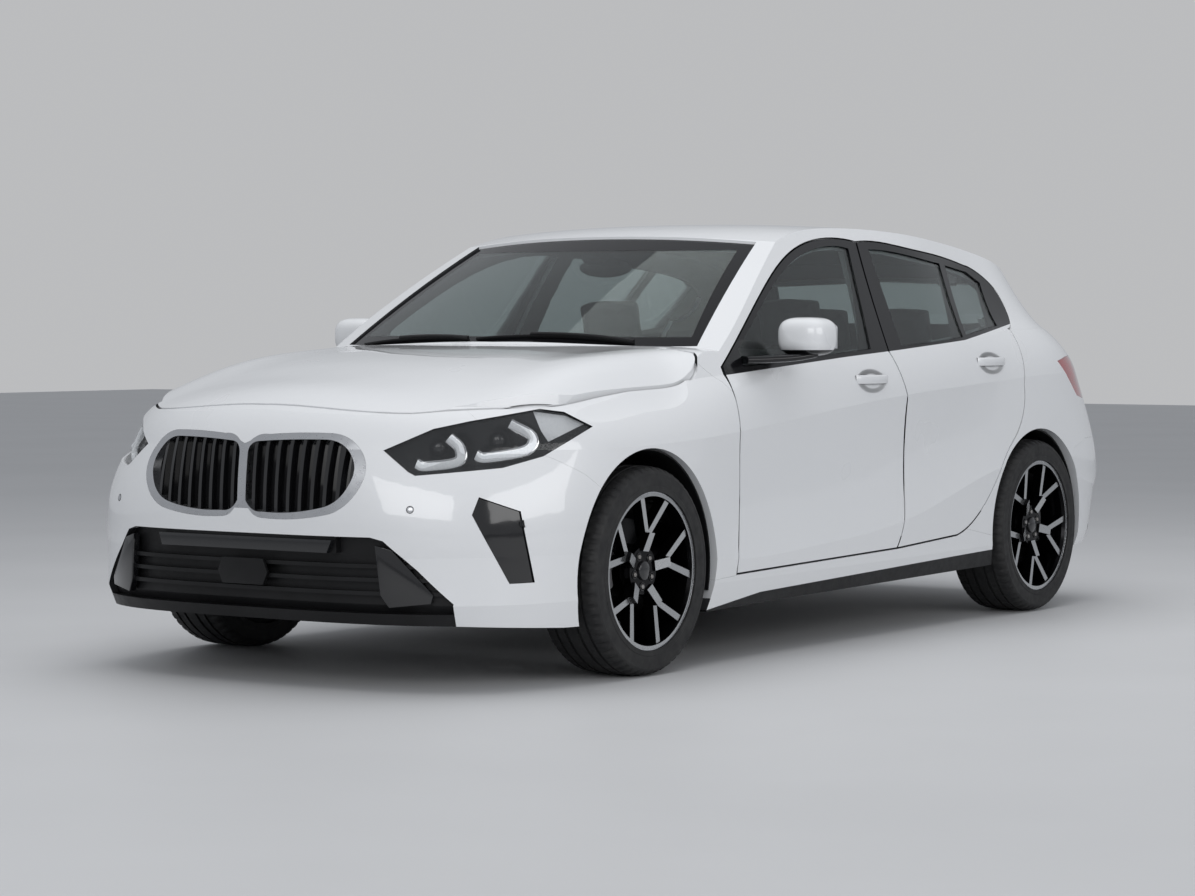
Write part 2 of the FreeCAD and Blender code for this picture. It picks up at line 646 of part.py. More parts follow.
bonnet_runs = symmetric([BONNET_NOSE, BONNET_SIDE, BONNET_CORNER, BONNET_REAR])
bonnet_prism = prism(bonnet_runs, plan, Vector(0, 0, 600), Vector(0, 0, 1300))
bonnet_hole = prism(bonnet_runs, plan, Vector(0, 0, 600), Vector(0, 0, 1300), BONNET_GAP)
bonnet_under = bonnet_solid(BONNET_WALL)
bonnet_rest = bonnet_solid(BONNET_WALL + SHUT_GAP)
cabin_outside = cabin_solid(-SHUT_GAP)
hood = outer.common(bonnet_prism).cut(bonnet_under).cut(cabin_outside)
wall = wall.cut(bonnet_hole.cut(bonnet_rest))

# Bonnet hinges: a tongue of the bonnet with its eye on a pin across a slot in the cowl, on each side
TONGUE_AT = Vector(650, -850, 1003)
TONGUE = 30.0
tongue_x0 = TONGUE_AT.x - TONGUE / 2
tongue_x1 = TONGUE_AT.x + TONGUE / 2
tongue = box(tongue_x0, tongue_x1, TONGUE_AT.y - 60, TONGUE_AT.y, TONGUE_AT.z - 6, TONGUE_AT.z + 6)
tongue = fuse([tongue, tube_x(EYE, tongue_x0, tongue_x1, TONGUE_AT.y, TONGUE_AT.z)])
tongue = tongue.cut(tube_x(PIN + PIN_GAP, tongue_x0 - 1, tongue_x1 + 1, TONGUE_AT.y, TONGUE_AT.z))
slot = box(tongue_x0 - SHUT_GAP, tongue_x1 + SHUT_GAP, TONGUE_AT.y - 60, TONGUE_AT.y + 13, 900, 1100)
cowl_pin = tube_x(PIN, tongue_x0 - SHUT_GAP - 8, tongue_x1 + SHUT_GAP + 8, TONGUE_AT.y, TONGUE_AT.z)
hood = joined([hood, tongue, mirrored(tongue)])
wall = wall.cut(Part.makeCompound([slot, mirrored(slot)]))
wall = joined(wall.Solids + [cowl_pin, mirrored(cowl_pin)])

# Windscreen seen from above
SCREEN = symmetric([[(0, -905), (300, -885), (600, -820), (725, -770)], [(725, -770), (592, -185)],
                    [(592, -185), (400, -225), (200, -250), (0, -258)]])
screen_hole = prism(SCREEN, plan, Vector(0, 0, 900), Vector(0, 0, 1500))
screen_pane = prism(SCREEN, plan, Vector(0, 0, 900), Vector(0, 0, 1500), -trim_step)
windscreen = glazing(screen_pane)
wall = wall.cut(outer.common(screen_hole).cut(lining))

# Tailgate seen from behind, hung at the roof
GATE_SEAM_Y = 1520.0
GATE_SEAM_GAP = 8.5
HATCH = Vector(0, 1455, 1310)
HATCH_X = 430.0
GATE_HALF = 600.0
GATE = symmetric([[(0, 1480), (GATE_HALF, 1480)], [(GATE_HALF, 1480), (GATE_HALF, 960)],
                  [(GATE_HALF, 960), (590, 820), (560, 660)], [(560, 660), (500, 632)], [(500, 632), (0, 628)]])
gate_prism = prism(GATE, front, Vector(0, GATE_SEAM_Y, 0), Vector(0, 2400, 0))
gate_hole = prism(GATE, front, Vector(0, GATE_SEAM_Y - GATE_SEAM_GAP, 0), Vector(0, 2400, 0), SHUT_GAP)
tailgate = outer.common(gate_prism).cut(lining)
wall = wall.cut(gate_hole)


def seam_radius(x):
    """Distance from the hatch axis to the tailgate's upper front edge, x across the car."""
    screen_back, roof_drop, tail_ahead = roof_sweep(x)
    shift = tail_ahead * smooth_step(GATE_SEAM_Y, 1300, 1760)
    height = spline_value(ROOF_LINE, GATE_SEAM_Y + shift) - roof_drop
    return math.hypot(GATE_SEAM_Y - HATCH.y, height - HATCH.z)


SEAM_STATIONS = (0.0, 200.0, 400.0, 520.0, GATE_HALF)
swing = []
for x0, x1 in zip(SEAM_STATIONS, SEAM_STATIONS[1:]):
    swing.append(Part.makeCone(seam_radius(x0), seam_radius(x1), x1 - x0, Vector(x0, HATCH.y, HATCH.z), Vector(1, 0, 0)))
swing = Part.makeCompound(swing)
tailgate = tailgate.cut(swing).cut(mirrored(swing))

REAR_GLASS = symmetric([[(0, 1262), (490, 1245)], [(490, 1245), (560, 1110)], [(560, 1110), (400, 1098), (0, 1095)]])
rear_window = prism(REAR_GLASS, front, Vector(0, 1500, 0), Vector(0, 2400, 0))
rear_pane = prism(REAR_GLASS, front, Vector(0, 1500, 0), Vector(0, 2400, 0), -trim_step)
tailgate = tailgate.cut(rear_window)
tailgate_glass = glazing(rear_pane)

# Lamps and vents face the front corner: outlines in a plane square to that direction
CORNER_TURN = math.radians(34.45)
CORNER_OUT = Vector(math.sin(CORNER_TURN), -math.cos(CORNER_TURN), 0)


def corner(u, z):
    return Vector(u * math.cos(CORNER_TURN), u * math.sin(CORNER_TURN), z)


HEADLAMP = [(-793, 716), (-646, 779), (-539, 801), (-335, 834), (-262, 824), (-175, 779), (-322, 695), (-441, 664),
            (-697, 643), (-718, 654)]
VENT = [(-509, 581), (-387, 537), (-346, 325), (-420, 324), (-529, 529)]
LAMP_BACK = 1690.0
LAMP_SHELL = 5.0
lamp_hole = prism(lines(HEADLAMP), corner, CORNER_OUT * LAMP_BACK, CORNER_OUT * 2400)
lamp_body = prism(lines(HEADLAMP), corner, CORNER_OUT * LAMP_BACK, CORNER_OUT * 2400, -SEAM_GAP)
lamp_bowl = prism(lines(HEADLAMP), corner, CORNER_OUT * (LAMP_BACK + 8), CORNER_OUT * 2400, -SEAM_GAP - LAMP_SHELL)
headlamp = glass_in.common(lamp_body).cut(lamp_bowl).cut(hood)
lamp_lens = glazing(lamp_body)
vent_hole = prism(lines(VENT), corner, CORNER_OUT * 1750, CORNER_OUT * 2400)
vent_body = prism(lines(VENT), corner, CORNER_OUT * 1750, CORNER_OUT * 2400, -SEAM_GAP)
vent = glazing(vent_body)

TAIL_LAMP_X = GATE_HALF + 12
TAIL_LAMP = [(1592, 948), (1700, 964), (1800, 968), (2300, 955), (2300, 800), (1850, 800), (1767, 812)]
tail_hole = prism(lines(TAIL_LAMP), side, Vector(TAIL_LAMP_X, 0, 0), Vector(980, 0, 0))
tail_body = prism(lines(TAIL_LAMP), side, Vector(TAIL_LAMP_X + SEAM_GAP, 0, 0), Vector(980, 0, 0), -SEAM_GAP)
lamp_depth = skin(40.0, 40.0, 40.0, 40.0)
tail_lamp = outer.common(tail_body).cut(lamp_depth)
GATE_LAMP = [(592, 956), (590, 925), (576, 812), (480, 812), (440, 850), (470, 948)]
gate_lamp_hole = prism(lines(GATE_LAMP), front, Vector(0, 1700, 0), Vector(0, 2400, 0))
gate_lamp_body = prism(lines(GATE_LAMP), front, Vector(0, 1700, 0), Vector(0, 2400, 0), -SEAM_GAP)
gate_lamp = outer.common(gate_lamp_body).cut(lamp_depth)
gate_lamp_cut = outer.common(gate_lamp_hole).cut(lamp_depth)
tailgate = tailgate.cut(Part.makeCompound([gate_lamp_cut, mirrored(gate_lamp_cut)]))

# Hatch hinges: lugs and pins under the roof, cranked arms round its rear edge into the tailgate
ARM_WIDE = 30.0
ARM_DROP = 66.0
ARM_BACK = 85.0
LUG = 8.0
arm_x0 = HATCH_X - ARM_WIDE / 2
arm_x1 = HATCH_X + ARM_WIDE / 2
down = box(arm_x0, arm_x1, HATCH.y - ARM / 2, HATCH.y + ARM / 2, HATCH.z - ARM_DROP - ARM / 2, HATCH.z)
rearward = box(arm_x0, arm_x1, HATCH.y - ARM / 2, HATCH.y + ARM_BACK + ARM / 2, HATCH.z - ARM_DROP - ARM / 2,
               HATCH.z - ARM_DROP + ARM / 2)
upward = box(arm_x0, arm_x1, HATCH.y + ARM_BACK - ARM / 2, HATCH.y + ARM_BACK + ARM / 2, HATCH.z - ARM_DROP,
             HATCH.z + 22)
hatch_arm = fuse([down, rearward, upward, tube_x(EYE, arm_x0, arm_x1, HATCH.y, HATCH.z)])
hatch_arm = hatch_arm.cut(tube_x(PIN + PIN_GAP, arm_x0 - 1, arm_x1 + 1, HATCH.y, HATCH.z))
tailgate = joined(tailgate.Solids + [hatch_arm, mirrored(hatch_arm)])
lugs = [box(x, x + LUG, HATCH.y - 15, HATCH.y + 15, HATCH.z - 9, HATCH.z + 36)
        for x in (arm_x0 - PLATE_GAP - LUG, arm_x1 + PLATE_GAP)]
hatch_bracket = fuse(lugs + [tube_x(PIN, arm_x0 - PLATE_GAP - LUG, arm_x1 + PLATE_GAP + LUG, HATCH.y, HATCH.z)])
wall = joined(wall.Solids + [hatch_bracket, mirrored(hatch_bracket)])

# Grille and lower intake seen from the front
GRILLE = symmetric([[(0, 730), (20, 738)], [(20, 738), (40, 752), (88, 759)], [(88, 759), (195, 765), (300, 765)],
                    [(300, 765), (360, 751), (408, 712)], [(408, 712), (432, 659), (424, 610)],
                    [(424, 610), (388, 560), (330, 527)], [(330, 527), (240, 512), (73, 509)],
                    [(73, 509), (50, 516), (28, 536)], [(28, 536), (0, 536)]])
CELL = [[(16, 560), (16, 700)], [(16, 700), (24, 725), (56, 738)], [(56, 738), (160, 744), (285, 746)],
        [(285, 746), (345, 732), (380, 700)], [(380, 700), (397, 660), (390, 620)],
        [(390, 620), (360, 575), (305, 546)], [(305, 546), (220, 531), (80, 527)], [(80, 527), (45, 532), (16, 560)]]
INTAKE = [(-503, 452), (-464, 462), (464, 462), (503, 452), (597, 367), (686, 268), (672, 150), (-672, 150),
          (-686, 268)]
LIP_Z = 236.0
grille_hole = prism(GRILLE, front, Vector(0, -1950, 0), Vector(0, -2400, 0))
intake_hole = prism(lines(INTAKE), front, Vector(0, -1850, 0), Vector(0, -2400, 0))
frame_out = prism(GRILLE, front, Vector(0, -1950, 0), Vector(0, -2400, 0), -SEAM_GAP)
cell = prism(CELL, front, Vector(0, -1950, 0), Vector(0, -2400, 0))
cells = Part.makeCompound([cell, mirrored(cell)])
grille_depth = skin(0.0, 0.0, 36.0, 36.0)
back_depth = skin(0.0, 0.0, 48.0, 48.0)
grille_frame = outer.common(frame_out).cut(grille_depth).cut(cells)
SLATS = 8
SLAT_PITCH = 44.0
SLAT = 12.0
slats = [box(36 + k * SLAT_PITCH, 36 + k * SLAT_PITCH + SLAT, -2300, -1900, 450, 800) for k in range(SLATS)]
slat_set = glass_out.common(cell.common(Part.makeCompound(slats))).cut(grille_depth)
grille_back = grille_depth.common(frame_out).cut(back_depth)
twin_grille = fuse(grille_back.Solids + slat_set.Solids + mirrored(slat_set).Solids)
intake_body = prism(lines(INTAKE), front, Vector(0, -1850, 0), Vector(0, -2400, 0), -SEAM_GAP)
intake_back = grille_depth.common(intake_body).cut(back_depth).cut(below_edge)
bars = [box(-700, 700, -2300, -1800, z, z + 12) for z in (290, 330, 370)]
top_strip = box(-344, 344, -2300, -1800, 412, 462)
bars_zone = glass_in.common(intake_body.common(Part.makeCompound(bars + [top_strip]))).cut(grille_depth)
lip = outer.common(intake_body.common(box(-720, 720, -2400, -1850, 0, LIP_Z))).cut(back_depth).cut(below_edge)
lower_grille = fuse(intake_back.Solids + bars_zone.Solids + lip.Solids)

front_cut = Part.makeCompound([lamp_hole, mirrored(lamp_hole), vent_hole, mirrored(vent_hole), grille_hole,
                               intake_hole])
wall = wall.cut(front_cut)
wall = wall.cut(Part.makeCompound([tail_hole, mirrored(tail_hole)]))
hood = hood.cut(Part.makeCompound([lamp_hole, mirrored(lamp_hole)]))

# Fixed panels: each is the wall inside a side-view outline
BUMPER_F = [(-2400, 0), (-1500, 0), (-1500, 560), (-1620, 640), (-1748, 700), (-1880, 740), (-1880, 900),
            (-2400, 900)]
FENDER = [(-1500, 0), (-1500, 560), (-1620, 640), (-1748, 700), (-1880, 740), (-1880, 900), (-1600, 960),
          (-880, 960), (-790, 900), (-752, 860), (-746, 747), (-743, 520), (-762, 376), (-771, 279), (-960, 270), (-960, 0)]
SKIRT = [(-960, 0), (-960, 270), (-771, 279), (302, 299), (745, 320), (800, 345), (1060, 300), (1060, 0)]
STRIP = [(-1100, 0), (-1100, 160), (-941, 176), (-605, 212), (1029, 254), (1100, 256), (1100, 0)]
BUMPER_R = [(1640, 0), (1680, 610), (1800, 645), (2400, 650), (2400, 0)]
DIFFUSER = [(1900, 0), (1900, 300), (2400, 330), (2400, 0)]


def take(source, outline, x0):
    """Panel out of the wall, outboard of x0 on both sides (0 takes the full width), and what is left."""
    x1 = 1000
    tool = prism(lines(outline), side, Vector(x0, 0, 0), Vector(x1, 0, 0))
    grown = prism(lines(outline), side, Vector(max(0, x0 - SEAM_GAP), 0, 0), Vector(x1, 0, 0), SEAM_GAP)
    if x0:
        tool = Part.makeCompound([tool, mirrored(tool)])
        grown = Part.makeCompound([grown, mirrored(grown)])
    else:
        tool = tool.fuse(mirrored(tool)).removeSplitter()
        grown = grown.fuse(mirrored(grown)).removeSplitter()
    return source.common(tool), source.cut(grown)


front_bumper, wall = take(wall, BUMPER_F, 0)
front_fenders, wall = take(wall, FENDER, 490)
pockets = Part.makeCompound(pockets_front + [mirrored(s) for s in pockets_front])
pins = pins_front + [mirrored(s) for s in pins_front]
front_fenders = joined(front_fenders.cut(pockets).Solids + pins)
wall = wall.cut(pockets)
sills, wall = take(wall, SKIRT, 650)
strips, skirts = take(sills, STRIP, 600)
rear_bumper, wall = take(wall, BUMPER_R, 0)
diffuser, rear_bumper = take(rear_bumper, DIFFUSER, 0)


# Wheels: tyre, spoked rim with its brake disc
SPOKES = 5
HUB_FACE = HALF_TRACK + 48
DISC_RADIUS = 160.0
RIM_FACE = HALF_TRACK + 106
BARREL = RIM_RADIUS - 14


def revolve_x(points, y, z):
    """Solid of revolution about the wheel axis of (x, radius) points."""
    wire = Part.makePolygon([Vector(px, y, z + r) for px, r in points + points[:1]])
    return Part.Face(wire).revolve(Vector(0, y, z), Vector(1, 0, 0), 360)


def tyre(y):
    half = TYRE_WIDTH / 2
    r = TYRE_RADIUS
    profile = [(-half + 12, RIM_RADIUS + 1), (-half, r - 38), (-half + 26, r), (half - 26, r), (half, r - 38),
               (half - 12, RIM_RADIUS + 1)]
    return revolve_x([(HALF_TRACK + px, pr) for px, pr in profile], y, AXLE_Z)


def rim(y, turn):
    x0 = HALF_TRACK - 102
    x1 = RIM_FACE
    barrel = revolve_x([(x0, BARREL), (x0, RIM_RADIUS), (x1 - 3, RIM_RADIUS), (x1, RIM_RADIUS - 4), (x1, BARREL),
                        (x1 - 14, BARREL - 4), (x1 - 40, BARREL - 8), (x0 + 10, BARREL - 8)], y, AXLE_Z)
    hub = tube_x(74.0, HUB_FACE, HUB_FACE + 26, y, AXLE_Z)
    disc = tube_x(DISC_RADIUS, HALF_TRACK - 20, HALF_TRACK + 6, y, AXLE_Z)
    hat = tube_x(84.0, HALF_TRACK + 6, HUB_FACE, y, AXLE_Z)
    bodies = [barrel, hub, disc, hat]
    for k in range(SPOKES):
        base = math.radians(turn + 72 * k)
        bodies.append(spoke(y, base, 0.0, 60.0, base, 118.0, 44.0, 40.0))
        for lean in (-17.5, 17.5):
            bodies.append(spoke(y, base, 108.0, 0.0, base + math.radians(lean), BARREL + 1, 26.0, 30.0))
    solid = fuse(bodies)
    return solid.cut(tube_x(32.5, HALF_TRACK - 30, HUB_FACE + 2, y, AXLE_Z))


def spoke(y, angle0, r0, skip, angle1, r1, w0, w1):
    """Tapered bar in the wheel's face from one polar point to another."""
    start = max(r0, skip)
    p = Vector(0, y + start * math.cos(angle0), AXLE_Z + start * math.sin(angle0))
    q = Vector(0, y + r1 * math.cos(angle1), AXLE_Z + r1 * math.sin(angle1))
    along = (q - p).normalize()
    across = Vector(0, -along.z, along.y)
    wires = []
    for at, width, face in ((p, w0, HUB_FACE + 30 + 10 * start / RIM_RADIUS), (q, w1, RIM_FACE - 6)):
        deep = 34.0
        top = [at + across * (width * 0.36) + Vector(face, 0, 0), at - across * (width * 0.36) + Vector(face, 0, 0)]
        low = [at - across * (width * 0.5) + Vector(face - deep, 0, 0),
               at + across * (width * 0.5) + Vector(face - deep, 0, 0)]
        wires.append(Part.makePolygon(top + low + top[:1]))
    return Part.makeLoft(wires, True, True)


tyre_f = tyre(AXLE_F)
tyre_r = tyre(AXLE_R)
rim_f = rim(AXLE_F, 83.0)
rim_r = rim(AXLE_R, 58.0)

# Front knuckles with strut tube, on the steering axis
STEER = (MOUNT - BALL).normalize()


def on_steer(z):
    return BALL + STEER * ((z - BALL.z) / STEER.z)


def steer_rod(radius, z0, z1):
    start = on_steer(z0)
    return Part.makeCylinder(radius, (z1 - z0) / STEER.z, start, STEER)


SPINDLE = 32.0
stub = tube_x(SPINDLE, 690, HUB_FACE - 6, AXLE_F, AXLE_Z)
carrier = tube_x(62.0, 690, HALF_TRACK - 34, AXLE_F, AXLE_Z)
upright = box(672, 700, AXLE_F - 36, AXLE_F + 36, 226, 440)
clamp = steer_rod(30.0, 400, 500)
strut = steer_rod(20.0, 480, 700)
ball_stud = steer_rod(13.0, 190, 232)
caliper_f = box(HALF_TRACK - 62, HALF_TRACK - 24, AXLE_F + 92, AXLE_F + 150, AXLE_Z - 60, AXLE_Z + 60)
caliper_arm = box(690, HALF_TRACK - 44, AXLE_F + 20, AXLE_F + 110, AXLE_Z - 26, AXLE_Z + 26)
knuckle = fuse([stub, carrier, upright, clamp, strut, ball_stud, caliper_f, caliper_arm])

# Axles: subframes, arms, springs and rear hub carriers
KICK_Y = 1210.0
BOOT_Z = 440.0
PIN_PLAY = 0.6
arm_end = steer_rod(30.0, 188, 214)
arm = loop(lines([(330, AXLE_F - 60), (712, AXLE_F - 26), (712, AXLE_F + 26), (330, AXLE_F + 160)]), plan)
arm = Part.Face(arm)
arm.translate(Vector(0, 0, 190))
arm = arm.extrude(Vector(0, 0, 22))
front_frame = box(-380, 380, AXLE_F - 80, AXLE_F + 180, FLOOR_Z - 35, FLOOR_Z + 20)
arm = arm.fuse(arm_end).cut(steer_rod(13.0 + PIN_PLAY, 180, 240))
SPRING_TOP = 770.0
spring = steer_rod(52.0, 705, SPRING_TOP).cut(steer_rod(20.0 + SHUT_GAP, 690, 715))
subframe_f = fuse([front_frame, arm, mirrored(arm)])
beam_r = tube_x(30.0, -640, 640, AXLE_R, AXLE_Z)
cradle_r = box(-420, 420, AXLE_R - 160, AXLE_R + 160, AXLE_Z - 20, BOOT_Z - SEAM_GAP)
carrier_r = tube_x(60.0, 630, HALF_TRACK - 34, AXLE_R, AXLE_Z)
stub_r = tube_x(SPINDLE, 630, HUB_FACE - 6, AXLE_R, AXLE_Z)
link_r = box(560, 610, AXLE_R - 160, AXLE_R, AXLE_Z - 40, AXLE_Z)
rear_axle = fuse([beam_r, cradle_r, carrier_r, mirrored(carrier_r), stub_r, mirrored(stub_r), link_r,
                  mirrored(link_r)])

# Front body rails, strut towers and engine brackets, part of the shell
RAIL_X = 385.0
RAIL = 56.0
RAIL_Z = 470.0
tower_low = on_steer(SPRING_TOP)
tower_z = SPRING_TOP + 52.0 * abs(STEER.x) + SEAM_GAP
rail = box(RAIL_X, RAIL_X + RAIL, -2040, FIREWALL_Y + 5, RAIL_Z, RAIL_Z + 90)
housing = box(RAIL_X + RAIL - 12, RAIL_X + RAIL, AXLE_F - 110, AXLE_F + 110, RAIL_Z, tower_z + 12)
tower = box(RAIL_X + RAIL - 12, tower_low.x + 60, AXLE_F - 70, AXLE_F + 70, tower_z, tower_z + 12)
frame_front = fuse([rail, housing, tower])
wall = joined(wall.Solids + [frame_front, mirrored(frame_front)])
post = box(RAIL_X + 8, RAIL_X + RAIL - 8, AXLE_F - 60, AXLE_F + 140, FLOOR_Z - 35, RAIL_Z - 0.3)
subframe_f = fuse([subframe_f, post, mirrored(post)])
axles = Part.makeCompound([subframe_f, spring, mirrored(spring), rear_axle])

# Floor with sills, wheel housings
floor = box(-740, 740, FIREWALL_Y + FIREWALL + SEAM_GAP, KICK_Y, FLOOR_Z, FLOOR_Z + FLOOR_PLATE)
tunnel = box(-TUNNEL_HALF, TUNNEL_HALF, FIREWALL_Y + FIREWALL + SEAM_GAP, KICK_Y, FLOOR_Z, TUNNEL_Z)
tunnel_bore = box(-TUNNEL_HALF + FLOOR_PLATE, TUNNEL_HALF - FLOOR_PLATE, -1100, 1400, 0, TUNNEL_Z - FLOOR_PLATE)
kick = box(-620, 620, KICK_Y - FLOOR_PLATE, KICK_Y, FLOOR_Z, BOOT_Z)
boot = box(-620, 620, KICK_Y - FLOOR_PLATE, 2090, BOOT_Z, BOOT_Z + FLOOR_PLATE)
floor_pan = fuse([floor, tunnel, kick, boot]).cut(tunnel_bore).cut(arches)
floor_pan = lining.common(floor_pan).removeSplitter()
liner_f = tube_x(ARCH_F - SEAM_GAP, INNER_F + SEAM_GAP, 862, AXLE_F, AXLE_Z)
liner_f = liner_f.cut(tube_x(ARCH_F - SEAM_GAP - LINER, INNER_F + LINER, 900, AXLE_F, AXLE_Z))
liner_f = liner_f.cut(box(400, 900, AXLE_F - 500, AXLE_F + 500, -100, 240)).cut(steer_rod(70.0, 600, 800))
liner_f = liner_f.cut(box(400, 700, AXLE_F - 120, AXLE_F + 220, 0, 480))
liner_r = tube_x(ARCH_R - SEAM_GAP, INNER_R + SEAM_GAP, 862, AXLE_R, AXLE_Z)
liner_r = liner_r.cut(tube_x(ARCH_R - SEAM_GAP - LINER, INNER_R + LINER, 900, AXLE_R, AXLE_Z))
liner_r = liner_r.cut(box(500, 900, AXLE_R - 500, AXLE_R + 500, -100, 260))
liner_r = liner_r.cut(box(500, 700, AXLE_R - 100, AXLE_R + 100, 200, 420))

# Engine, exhaust
lug = box(250, RAIL_X - 0.3, -1560, -1480, RAIL_Z + 10, RAIL_Z + 70)
engine = fuse([box(-330, 330, -1760, -1180, 310, 820), lug, mirrored(lug)])
PIPE_Z = 262.0
PIPE = 24.0
muffler = box(-300, 300, 1640, 1860, PIPE_Z - 20, PIPE_Z + 120)
hanger = box(-40, 40, 1700, 1760, PIPE_Z + 110, BOOT_Z - 0.3)
tail_pipe = Part.makeCylinder(32, 200, Vector(-260, 1850, PIPE_Z + 30), Vector(0, 1, 0))
long_pipe = Part.makeCylinder(PIPE, 2510, Vector(0, -860, PIPE_Z), Vector(0, 1, 0))
exhaust = fuse([muffler, hanger, tail_pipe, long_pipe])

# Cabin
seat_z = FLOOR_Z + FLOOR_PLATE
def seat(x0, x1, y0, y1, back_y):
    cushion = box(x0, x1, y0, y1, seat_z, seat_z + 260)
    wire = lines([(y1 - 140, seat_z + 200), (y1, seat_z + 200), (back_y + 90, seat_z + 780), (back_y, seat_z + 780)])
    back = prism(wire, side, Vector(x0, 0, 0), Vector(x1, 0, 0))
    mid = 0.5 * (x0 + x1)
    head = box(mid - 130, mid + 130, back_y + 10, back_y + 100, seat_z + 770, seat_z + 960)
    return fuse([cushion, back, head])


seat_left = seat(140, 640, -260, 250, 330)
seats_front = Part.makeCompound([seat_left, mirrored(seat_left)])
bench = seat(-600, 600, 700, 1160, 1215).cut(box(-TUNNEL_HALF - SEAM_GAP, TUNNEL_HALF + SEAM_GAP, 0, 1300, 0,
                                                 TUNNEL_Z + SEAM_GAP)).cut(boot)
seats = Part.makeCompound([seat_left, mirrored(seat_left), bench])
dash_wire = lines([(FIREWALL_Y + FIREWALL + SEAM_GAP, 560), (-420, 600), (-400, 860), (-500, 950), (-720, 960),
                   (FIREWALL_Y + FIREWALL + SEAM_GAP, 950)])
dashboard = prism(dash_wire, side, Vector(-700, 0, 0), Vector(700, 0, 0))
console = box(-100, 100, -500, 100, TUNNEL_Z, 620)
dashboard = dashboard.fuse(console).removeSplitter()
WHEEL_AT = Vector(370, -280, 860)
COLUMN = Vector(0, -math.cos(math.radians(24)), -math.sin(math.radians(24)))
GRIP = 16.0
GRIP_RADIUS = 172.0
grip = []
for k in range(9):
    turn = math.radians(45 * k + 22.5)
    grip.append(Vector(GRIP_RADIUS + GRIP * math.cos(turn), 0, GRIP * math.sin(turn)))
ring = Part.Face(Part.makePolygon(grip)).revolve(Vector(0, 0, 0), Vector(0, 0, 1), 360)
ring.Placement = FreeCAD.Placement(WHEEL_AT, FreeCAD.Rotation(Vector(0, 0, 1), COLUMN))
boss = Part.makeCylinder(48, 50, WHEEL_AT, COLUMN)
column = Part.makeCylinder(20, 170, WHEEL_AT, COLUMN)
dashboard = dashboard.cut(Part.makeCylinder(20 + PIN_PLAY, 180, WHEEL_AT, COLUMN))
bar_h = box(-175, 175, -12, 12, -16, 16)
bar_h.translate(WHEEL_AT)
steering_wheel = fuse([ring, boss, column, bar_h])

# Mirrors: a rounded housing outboard of the window, on a cranked foot at the door's front corner
MIRROR_FACE = [(852, 984), (856, 1050), (880, 1094), (950, 1112), (1004, 1096), (1030, 1040), (1030, 984)]
MIRROR_FRONT = -512.0
MIRROR_REAR = -350.0
MIRROR_NOSE = 44.0
housing = prism(lines(MIRROR_FACE), front, Vector(0, MIRROR_FRONT, 0), Vector(0, MIRROR_REAR, 0))
nose = [e for e in housing.Edges if e.BoundBox.YMax < MIRROR_FRONT + 1]
housing = housing.makeFillet(MIRROR_NOSE, nose)
MIRROR_FOOT = [(800, -690), (846, -690), (1012, -470), (1012, -380), (900, -380), (846, -560), (800, -600)]
foot = prism(lines(MIRROR_FOOT), plan, Vector(0, 0, 960), Vector(0, 0, 984))
mirror = housing.fuse(foot).cut(outer).removeSplitter()


def save(name, shape):
    shape.exportStep("parts/" + name + ".step")
    solids = shape.Solids
    low = shape.BoundBox
    print(name, len(solids), shape.isValid(), round(low.XMin), round(low.XMax), round(low.YMin), round(low.YMax),
          round(low.ZMin), round(low.ZMax))


save("body_shell", wall)
save("floor_pan", floor_pan)
save("front_fenders", front_fenders)
save("side_skirts", skirts)
save("sill_strips", strips)
save("front_bumper", front_bumper)
save("rear_bumper", rear_bumper)
save("rear_diffuser", diffuser)
save("hood", hood)
save("tailgate", tailgate)
save("tailgate_glass", tailgate_glass)
save("tailgate_lamps", both(gate_lamp))
save("windscreen", windscreen)
save("headlamps", both(headlamp))
save("headlamp_lenses", both(lamp_lens))
save("corner_vents", both(vent))
save("tail_lamps", both(tail_lamp))
save("grille_frames", grille_frame)
save("twin_grille", twin_grille)
save("lower_grille", lower_grille)
save("arch_liners", Part.makeCompound([liner_f, mirrored(liner_f), liner_r, mirrored(liner_r)]))
save("axles", axles)
save("engine_block", engine)
save("exhaust", exhaust)
save("seats", seats)
save("dashboard", dashboard)
save("steering_wheel", steering_wheel)
for label, turned in (("left", False), ("right", True)):
    def keep(name, shape):
        save(name + "_" + label, mirrored(shape) if turned else shape)
    keep("door_front", door_front)
    keep("door_rear", door_rear)
    keep("hinges_rear", hinges_rear)
    keep("glass_front", glass_front)
    keep("glass_rear", glass_rear)
    keep("mirror", mirror)
    keep("tyre_front", tyre_f)
    keep("tyre_rear", tyre_r)
    keep("rim_front", rim_f)
    keep("rim_rear", rim_r)
    keep("knuckle", knuckle)
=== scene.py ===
# Looks of the five-door hatchback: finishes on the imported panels, and the tyres, trim, lamp
# insides and cabin upholstery that the solids leave plain. Lengths are in metres. The car's left
# side is at +X, its nose towards -Y.
import json
import math

import bmesh
import bpy
from mathutils import Matrix, Vector
from mathutils.bvhtree import BVHTree


